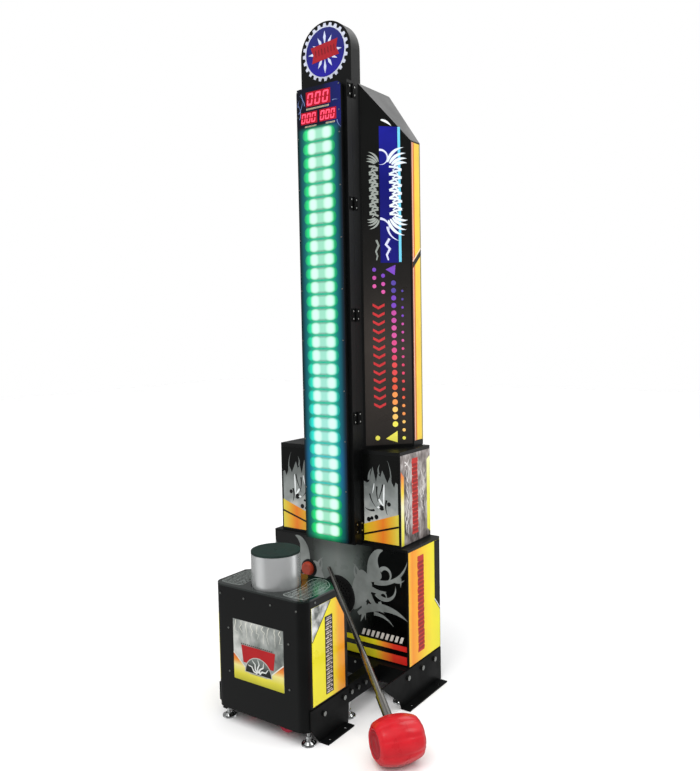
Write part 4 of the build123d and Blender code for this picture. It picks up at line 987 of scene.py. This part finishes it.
DOT_COLORS = ["54449A", "7444B4", "BC4C9A", "CC5499", "CE4A82", "D24264", "D4484A", "D8563E", "E8904E",
              "F0BE66", "EAE25A"]
LOOSE_DOTS = ((50, 1593), (84, 1571), (50, 1563), (84, 1540), (50, 1532), (84, 1511))
CHEVRONS = 13
CHEVRON_TOP = 1468
CHEVRON_PITCH = 31


def dot_column(groups, count, u, top, pitch, r, growth, corners):
    """Adds a column of dots that grow downwards to the groups, which are sorted by colour."""
    for i in range(count):
        code = DOT_COLORS[i * len(DOT_COLORS) // count]
        groups[code].append(disc(u, top - i * pitch, r + growth * i / (count - 1), corners))


def wing_dots():
    """Dots and triangles that go from violet to yellow, beside a column of red chevrons."""
    groups = {code: [] for code in DOT_COLORS}
    dot_column(groups, 20, 124, 1544, 28.0, 9.4, 1.4, 24)
    dot_column(groups, 19, 158, 1514, 30.9, 4.4, 2.2, 14)
    for i, (u, v) in enumerate(LOOSE_DOTS):
        groups[DOT_COLORS[1 + i // 2]].append(disc(u, v, 7.5))
    groups[DOT_COLORS[1]].append([(94, 1594), (133, 1611), (129, 1573)])
    groups[DOT_COLORS[-1]] += [[(86, 958), (132, 942), (132, 986)], disc(54, 962, 9)]
    for i, (code, shapes) in enumerate(groups.items()):
        # The dots are print with a faint painted glow of their own colour.
        dye_and_painted_glow = ink("dot_print_painted_glow_%02d" % i, code, Emission_Color=rgb(code), Emission_Strength=0.12)
        art("wing_dots_%02d" % i, shapes, WING_FACE, 1, dye_and_painted_glow)
    chevrons = []
    for i in range(CHEVRONS):
        v = CHEVRON_TOP - i * CHEVRON_PITCH
        chevrons.append([(42, v), (64, v - 12), (88, v), (88, v - 10), (64, v - 22), (42, v - 10)])
    art("wing_red_chevrons", chevrons, WING_FACE, 1, ink("chevron_red", "C43438"))


def wing_side_art():
    face = facing_side("wing_art_panels", "wing_art")
    slash = [(96.5, 1598), (156, 1650), (156, 1672), (96.5, 1620)]
    art("wing_side_slash", [slash], face, 1, ink("slash_black", "11100F"))
    line = [(96.5, 1623), (156, 1675), (156, 1679), (96.5, 1627)]
    art("wing_side_slash_line", [line], face, 1, ink("slash_pale", "EBD9D4"))


# ---- strike box art ----
BOX_CORNER_R = 36.5
WRAP_STEPS = 8
WRAP_UNDERSIDE = 0.1  # above the sheet


def corner_wrap(name, v0, v1):
    """Edge of the left side's film, carried round the rounded front corner of the strike box."""
    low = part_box("strike_box_shell")[0] / MM
    verts, faces = [], []
    for i in range(WRAP_STEPS + 1):
        angle = math.radians(-2 + 60 * i / WRAP_STEPS)
        for lift, v in ((WRAP_UNDERSIDE, v0), (WRAP_UNDERSIDE, v1), (FILM, v1), (FILM, v0)):
            reach = BOX_CORNER_R + lift
            verts.append(((low.x + BOX_CORNER_R - reach * math.cos(angle)) * MM,
                          (low.y + BOX_CORNER_R - reach * math.sin(angle)) * MM, v * MM))
        if i:
            for k in range(4):
                a, b = 4 * i + k, 4 * i + (k + 1) % 4
                faces.append((a, b, b - 4, a - 4))
    faces += [(0, 1, 2, 3), tuple(4 * WRAP_STEPS + k for k in (3, 2, 1, 0))]
    return new_mesh(name, verts, faces)


def strike_art():
    rnd = random.Random(9)
    white = ink("strike_white", "D2D1C6")
    strike_panels()
    strike_front_foot(white)
    strike_front_picture()
    strike_front_lines(white, rnd)
    strike_side_art(rnd)
    top_decals(rnd)


def strike_panels():
    both = Surface("strike_print")
    heat = both.run(both.y, [(-511, "F1E81C"), (-425, "EFE31C"), (-385, "F0CE1E"), (-362, "F0A51E"),
                             (-329, "EE9420")])
    cloud = both.noise(16.0, 5.0, (1, 1, 0.6))
    smoke = both.ramp(cloud, [(0.3, "4B504D"), (0.5, "8D918D"), (0.68, "C2C3BE")])
    colour = both.blend(on_sides(both, "strike_art_panels"), smoke, heat)
    wear("strike_art_panels", both.dress(colour, 0.34, drift=0.05, Coat_Weight=0.25, Coat_Roughness=0.1))


def strike_front_foot(white):
    """Yellow to red foot of the front print, with pale edges."""
    face = facing_front("strike_art_panels", "strike_art")
    base = faded("strike_base_print", "z", [(172, "A9A426"), (196, "CBC23A"), (222, "DACF82"),
                                            (240, "D8842F"), (264, "BE3F1A")], drift=0.08, Coat_Weight=0.06)
    art("strike_front_base", [[(0, 172), (112.5, 172), (112.5, 263), (40, 203), (0, 203)]], face, 1, base)
    art("strike_front_edges", [ribbon([(112, 265, 4), (40, 205, 3.5)])], face, 2, white)


DOME_FOOT = 206
DOME_HALF_W = 62
DOME_HEIGHT = 60
DOME_STEPS = 24
DOME_FILM = 0.1  # the upper layers of the picture are thinner, to stay inside the CAD's size
FINE_FILM = 0.08
PICTURE_RAYS = 5


def strike_front_picture():
    """Plain banner behind a half disc with five rays."""
    face = facing_front("strike_art_panels", "strike_art")
    art("strike_front_banner", [[(-76, 298), (76, 298), (68, 238), (-68, 238)]], face, 2,
        ink("strike_red", "A30E14"), mirror=False)
    dome = []
    for i in range(DOME_STEPS + 1):
        angle = math.pi * i / DOME_STEPS
        dome.append((DOME_HALF_W * math.cos(angle), DOME_FOOT + DOME_HEIGHT * math.sin(angle)))
    inner = [(0.93 * u, DOME_FOOT + 2 + 0.91 * (v - DOME_FOOT)) for u, v in dome]
    shell = faded("strike_dome_print", "z", [(203, "121312"), (226, "1C1F1D"), (244, "5D635F"),
                                             (268, "707672")], drift=0.1, Coat_Weight=0.06)
    art("strike_front_dome", [dome], face, 3, shell, mirror=False, depth=DOME_FILM)
    art("strike_front_dome_rim", [[dome, inner]], face, 3.3, ink("dome_rim", "A9A8A2"), mirror=False,
        depth=FINE_FILM)
    rays = []
    for k in range(PICTURE_RAYS):
        points = []
        for r, bend, width in ((6, 0, 6), (22, 9, 6), (36, -7, 5), (53, 2, 2)):
            angle = math.radians(180 / (PICTURE_RAYS + 1) * (k + 1) + bend)
            points.append((r * math.cos(angle), DOME_FOOT + 2 + r * math.sin(angle), width))
        rays.append(ribbon(points))
    art("strike_front_bolts", rays, face, 3.55, ink("strike_silver", "C9CCC8"), mirror=False,
        depth=FINE_FILM)


def strike_front_lines(white, rnd):
    """Pale veins from the top edge and a row of ticks over the banner."""
    face = facing_front("strike_art_panels", "strike_art")
    veins = []
    for i in range(9):
        u = -100 + i * 25
        points = [(u, 381, 3)]
        for k in range(1, 5):
            points.append((u + rnd.uniform(-9, 9), 381 - k * rnd.uniform(10, 15), 3 - 0.6 * k))
        veins.append(ribbon(points))
    art("strike_front_veins", veins, face, 1, white, mirror=False)
    ticks = [bar(-78 + i * 9, -73 + i * 9, 300, 304, 2) for i in range(16)]
    art("strike_front_ticks", ticks, face, 2, ink("strike_tick", "4A3A34"), mirror=False)


def strike_side_art(rnd):
    """Smoky corner with a dark line, and a dark band of short pale strokes."""
    face = facing_side("strike_art_panels", "strike_art")
    corner = Surface("strike_corner_print")
    smoke = corner.ramp(corner.noise(24.0, 5.0), [(0.34, "5C605E"), (0.5, "B4B6B4"), (0.62, "DEE0DF")])
    art("strike_side_corner", [[(-511, 465), (-408, 465), (-511, 352)]], face, 1,
        corner.dress(smoke, 0.34, Coat_Weight=0.06))
    line = ribbon([(-407, 464, 3), (-510, 350, 3)])
    art("strike_side_corner_line", [line], face, 2, ink("strike_line", "20201C"))
    art("strike_side_band", [bar(-440, -398, 148, 416)], face, 2, ink("band_black", "2A2424"))
    keys = []
    for i in range(17):
        v = 152 + i * 15.5
        keys.append(bar(-436, -418, v, v + 4.5, rnd.choice((-3, 3))))
        keys.append(bar(-432, -408, v + 7.5, v + 10, rnd.choice((-2, 2))))
        keys.append(bar(-413, -403, v, v + 4))
    art("strike_side_band_keys", keys, face, 3, ink("band_grey", "CFC4C0"))
    wrap = corner_wrap("strike_left_wrap", 146, 386)
    add_piece(wrap, "cabinet", ink("wrap_yellow", "E9DF1C"))


DECAL_MIDDLE = (142, -430)
DECAL_RIM = (0.05, 0.03)  # share of the way to the middle that the rim takes, along u and v
DECAL_ROWS = 17
DECAL_ROW_PITCH = 11.5


def top_decals(rnd):
    """Silver rims on the top plate, filled with rows of short bars."""
    face = facing_up("strike_top_plate", "strike_art")
    outline = soften([(190, -516), (190, -382), (134, -324), (78, -324), (78, -372), (99, -412), (99, -478),
                      (88, -516), (102, -530), (178, -530)], 1)
    (middle_u, middle_v), (rim_u, rim_v) = DECAL_MIDDLE, DECAL_RIM
    inner = [(u + (middle_u - u) * rim_u, v + (middle_v - v) * rim_v) for u, v in outline]
    silver = finish("decal_silver", "A9B0AC", 0.22, drift=0.1, patch=40.0, grain=900.0, Metallic=0.6)
    art("top_decal_rims", [[outline, inner]], face, 1, silver)
    marks = []
    for row in range(DECAL_ROWS):
        v = -522 + row * DECAL_ROW_PITCH
        u = (104.0 if -488 < v < -404 else 90.0) + rnd.uniform(0, 8)
        limit = min(184, 184 - (v + 386))
        while u < limit - 6:
            width = rnd.uniform(10, 30)
            marks.append(bar(u, min(u + width, limit), v, v + 3.6))
            u += width + 3
    art("top_decal_marks", marks, face, 1, silver)


# ---- hammer ----
HEAD_HALF = 77.6
HEAD_MID_R = 78.0
HEAD_END_R = 61.0
HEAD_FOLDS = 9
HEAD_SEGMENTS = 108
PAD_SEGMENTS = 72
SKIN_STEPS = 28
PAD_PROFILE = [(6, 44.5), (2.2, 44.5), (1.4, 42), (1.2, 37), (1.9, 35), (1.9, 32), (1.2, 30), (1.6, 12),
               (2.6, 10)]  # (depth below the end of the head, radius)


def vinyl_radius(along, radius, angle):
    """Radius of the skin, with soft folds round the head and small lumps towards its middle."""
    fold = abs(math.sin(HEAD_FOLDS * angle / 2)) ** 0.6
    near = max(0.0, 1 - abs(along) / HEAD_HALF)
    lumps = noise.noise(Vector((along * 0.02, math.cos(angle) * 2.2, math.sin(angle) * 2.2)))
    return radius * (0.952 + 0.035 * fold) + lumps * 2.0 * near


def hammer():
    low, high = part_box("hammer_head")
    centre = (low + high) / 2
    low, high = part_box("hammer_handle")
    handle = (Vector((low.x, high.y, high.z)) - centre).normalized()
    axis = Vector((handle.y, -handle.x, 0)).normalized()

    profile = [(-HEAD_HALF + 3, 43), (-HEAD_HALF + 1, 45), (-HEAD_HALF, 48), (-HEAD_HALF, 52)]
    for i in range(SKIN_STEPS + 1):
        s = 0.985 * (2 * i / SKIN_STEPS - 1)
        rounding = 9 * max(0.0, (abs(s) - 0.86) / 0.14) ** 2
        swell = (HEAD_MID_R - HEAD_END_R) * (1 - abs(s) ** 2.1)
        profile.append((s * (HEAD_HALF - 1), HEAD_END_R + swell - rounding))
    profile += [(HEAD_HALF, 52), (HEAD_HALF, 48), (HEAD_HALF - 1, 45), (HEAD_HALF - 3, 43)]
    mesh = lathe("hammer_head_vinyl", profile, centre, axis, handle, HEAD_SEGMENTS, vinyl_radius)
    skin = finish("hammer_red", "BE1823", 0.32, drift=0.1, patch=22.0, spread=0.07, grain=900.0, bump=0.2,
                  Coat_Weight=0.35, Coat_Roughness=0.18)
    head = add_piece(mesh, "hammer", skin)
    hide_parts("hammer_head")

    ends = []
    for end in (-1, 1):
        profile = [(end * (HEAD_HALF - depth), radius) for depth, radius in PAD_PROFILE]
        ends.append(lathe("hammer_face_pads_part", profile, centre, axis, handle, PAD_SEGMENTS))
    dark = finish("hammer_dark_red", "98101C", 0.42, drift=0.15, patch=30.0, grain=700.0, bump=0.2,
                  Coat_Weight=0.06)
    pads = add_piece(joined("hammer_face_pads", ends), "hammer", dark)
    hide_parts("hammer_end_caps")


# ---- build ----
add_camera()
add_floor()
add_light()
metal_and_plastic()
lit_bars()
door_panel()
displays()
door_prints()
hinge_screws()
emblem()
lower_panels()
lower_front_art()
lower_side_art()
shoulder_art()
wing_panels()
wing_claws()
wing_dots()
wing_side_art()
strike_art()
hammer()
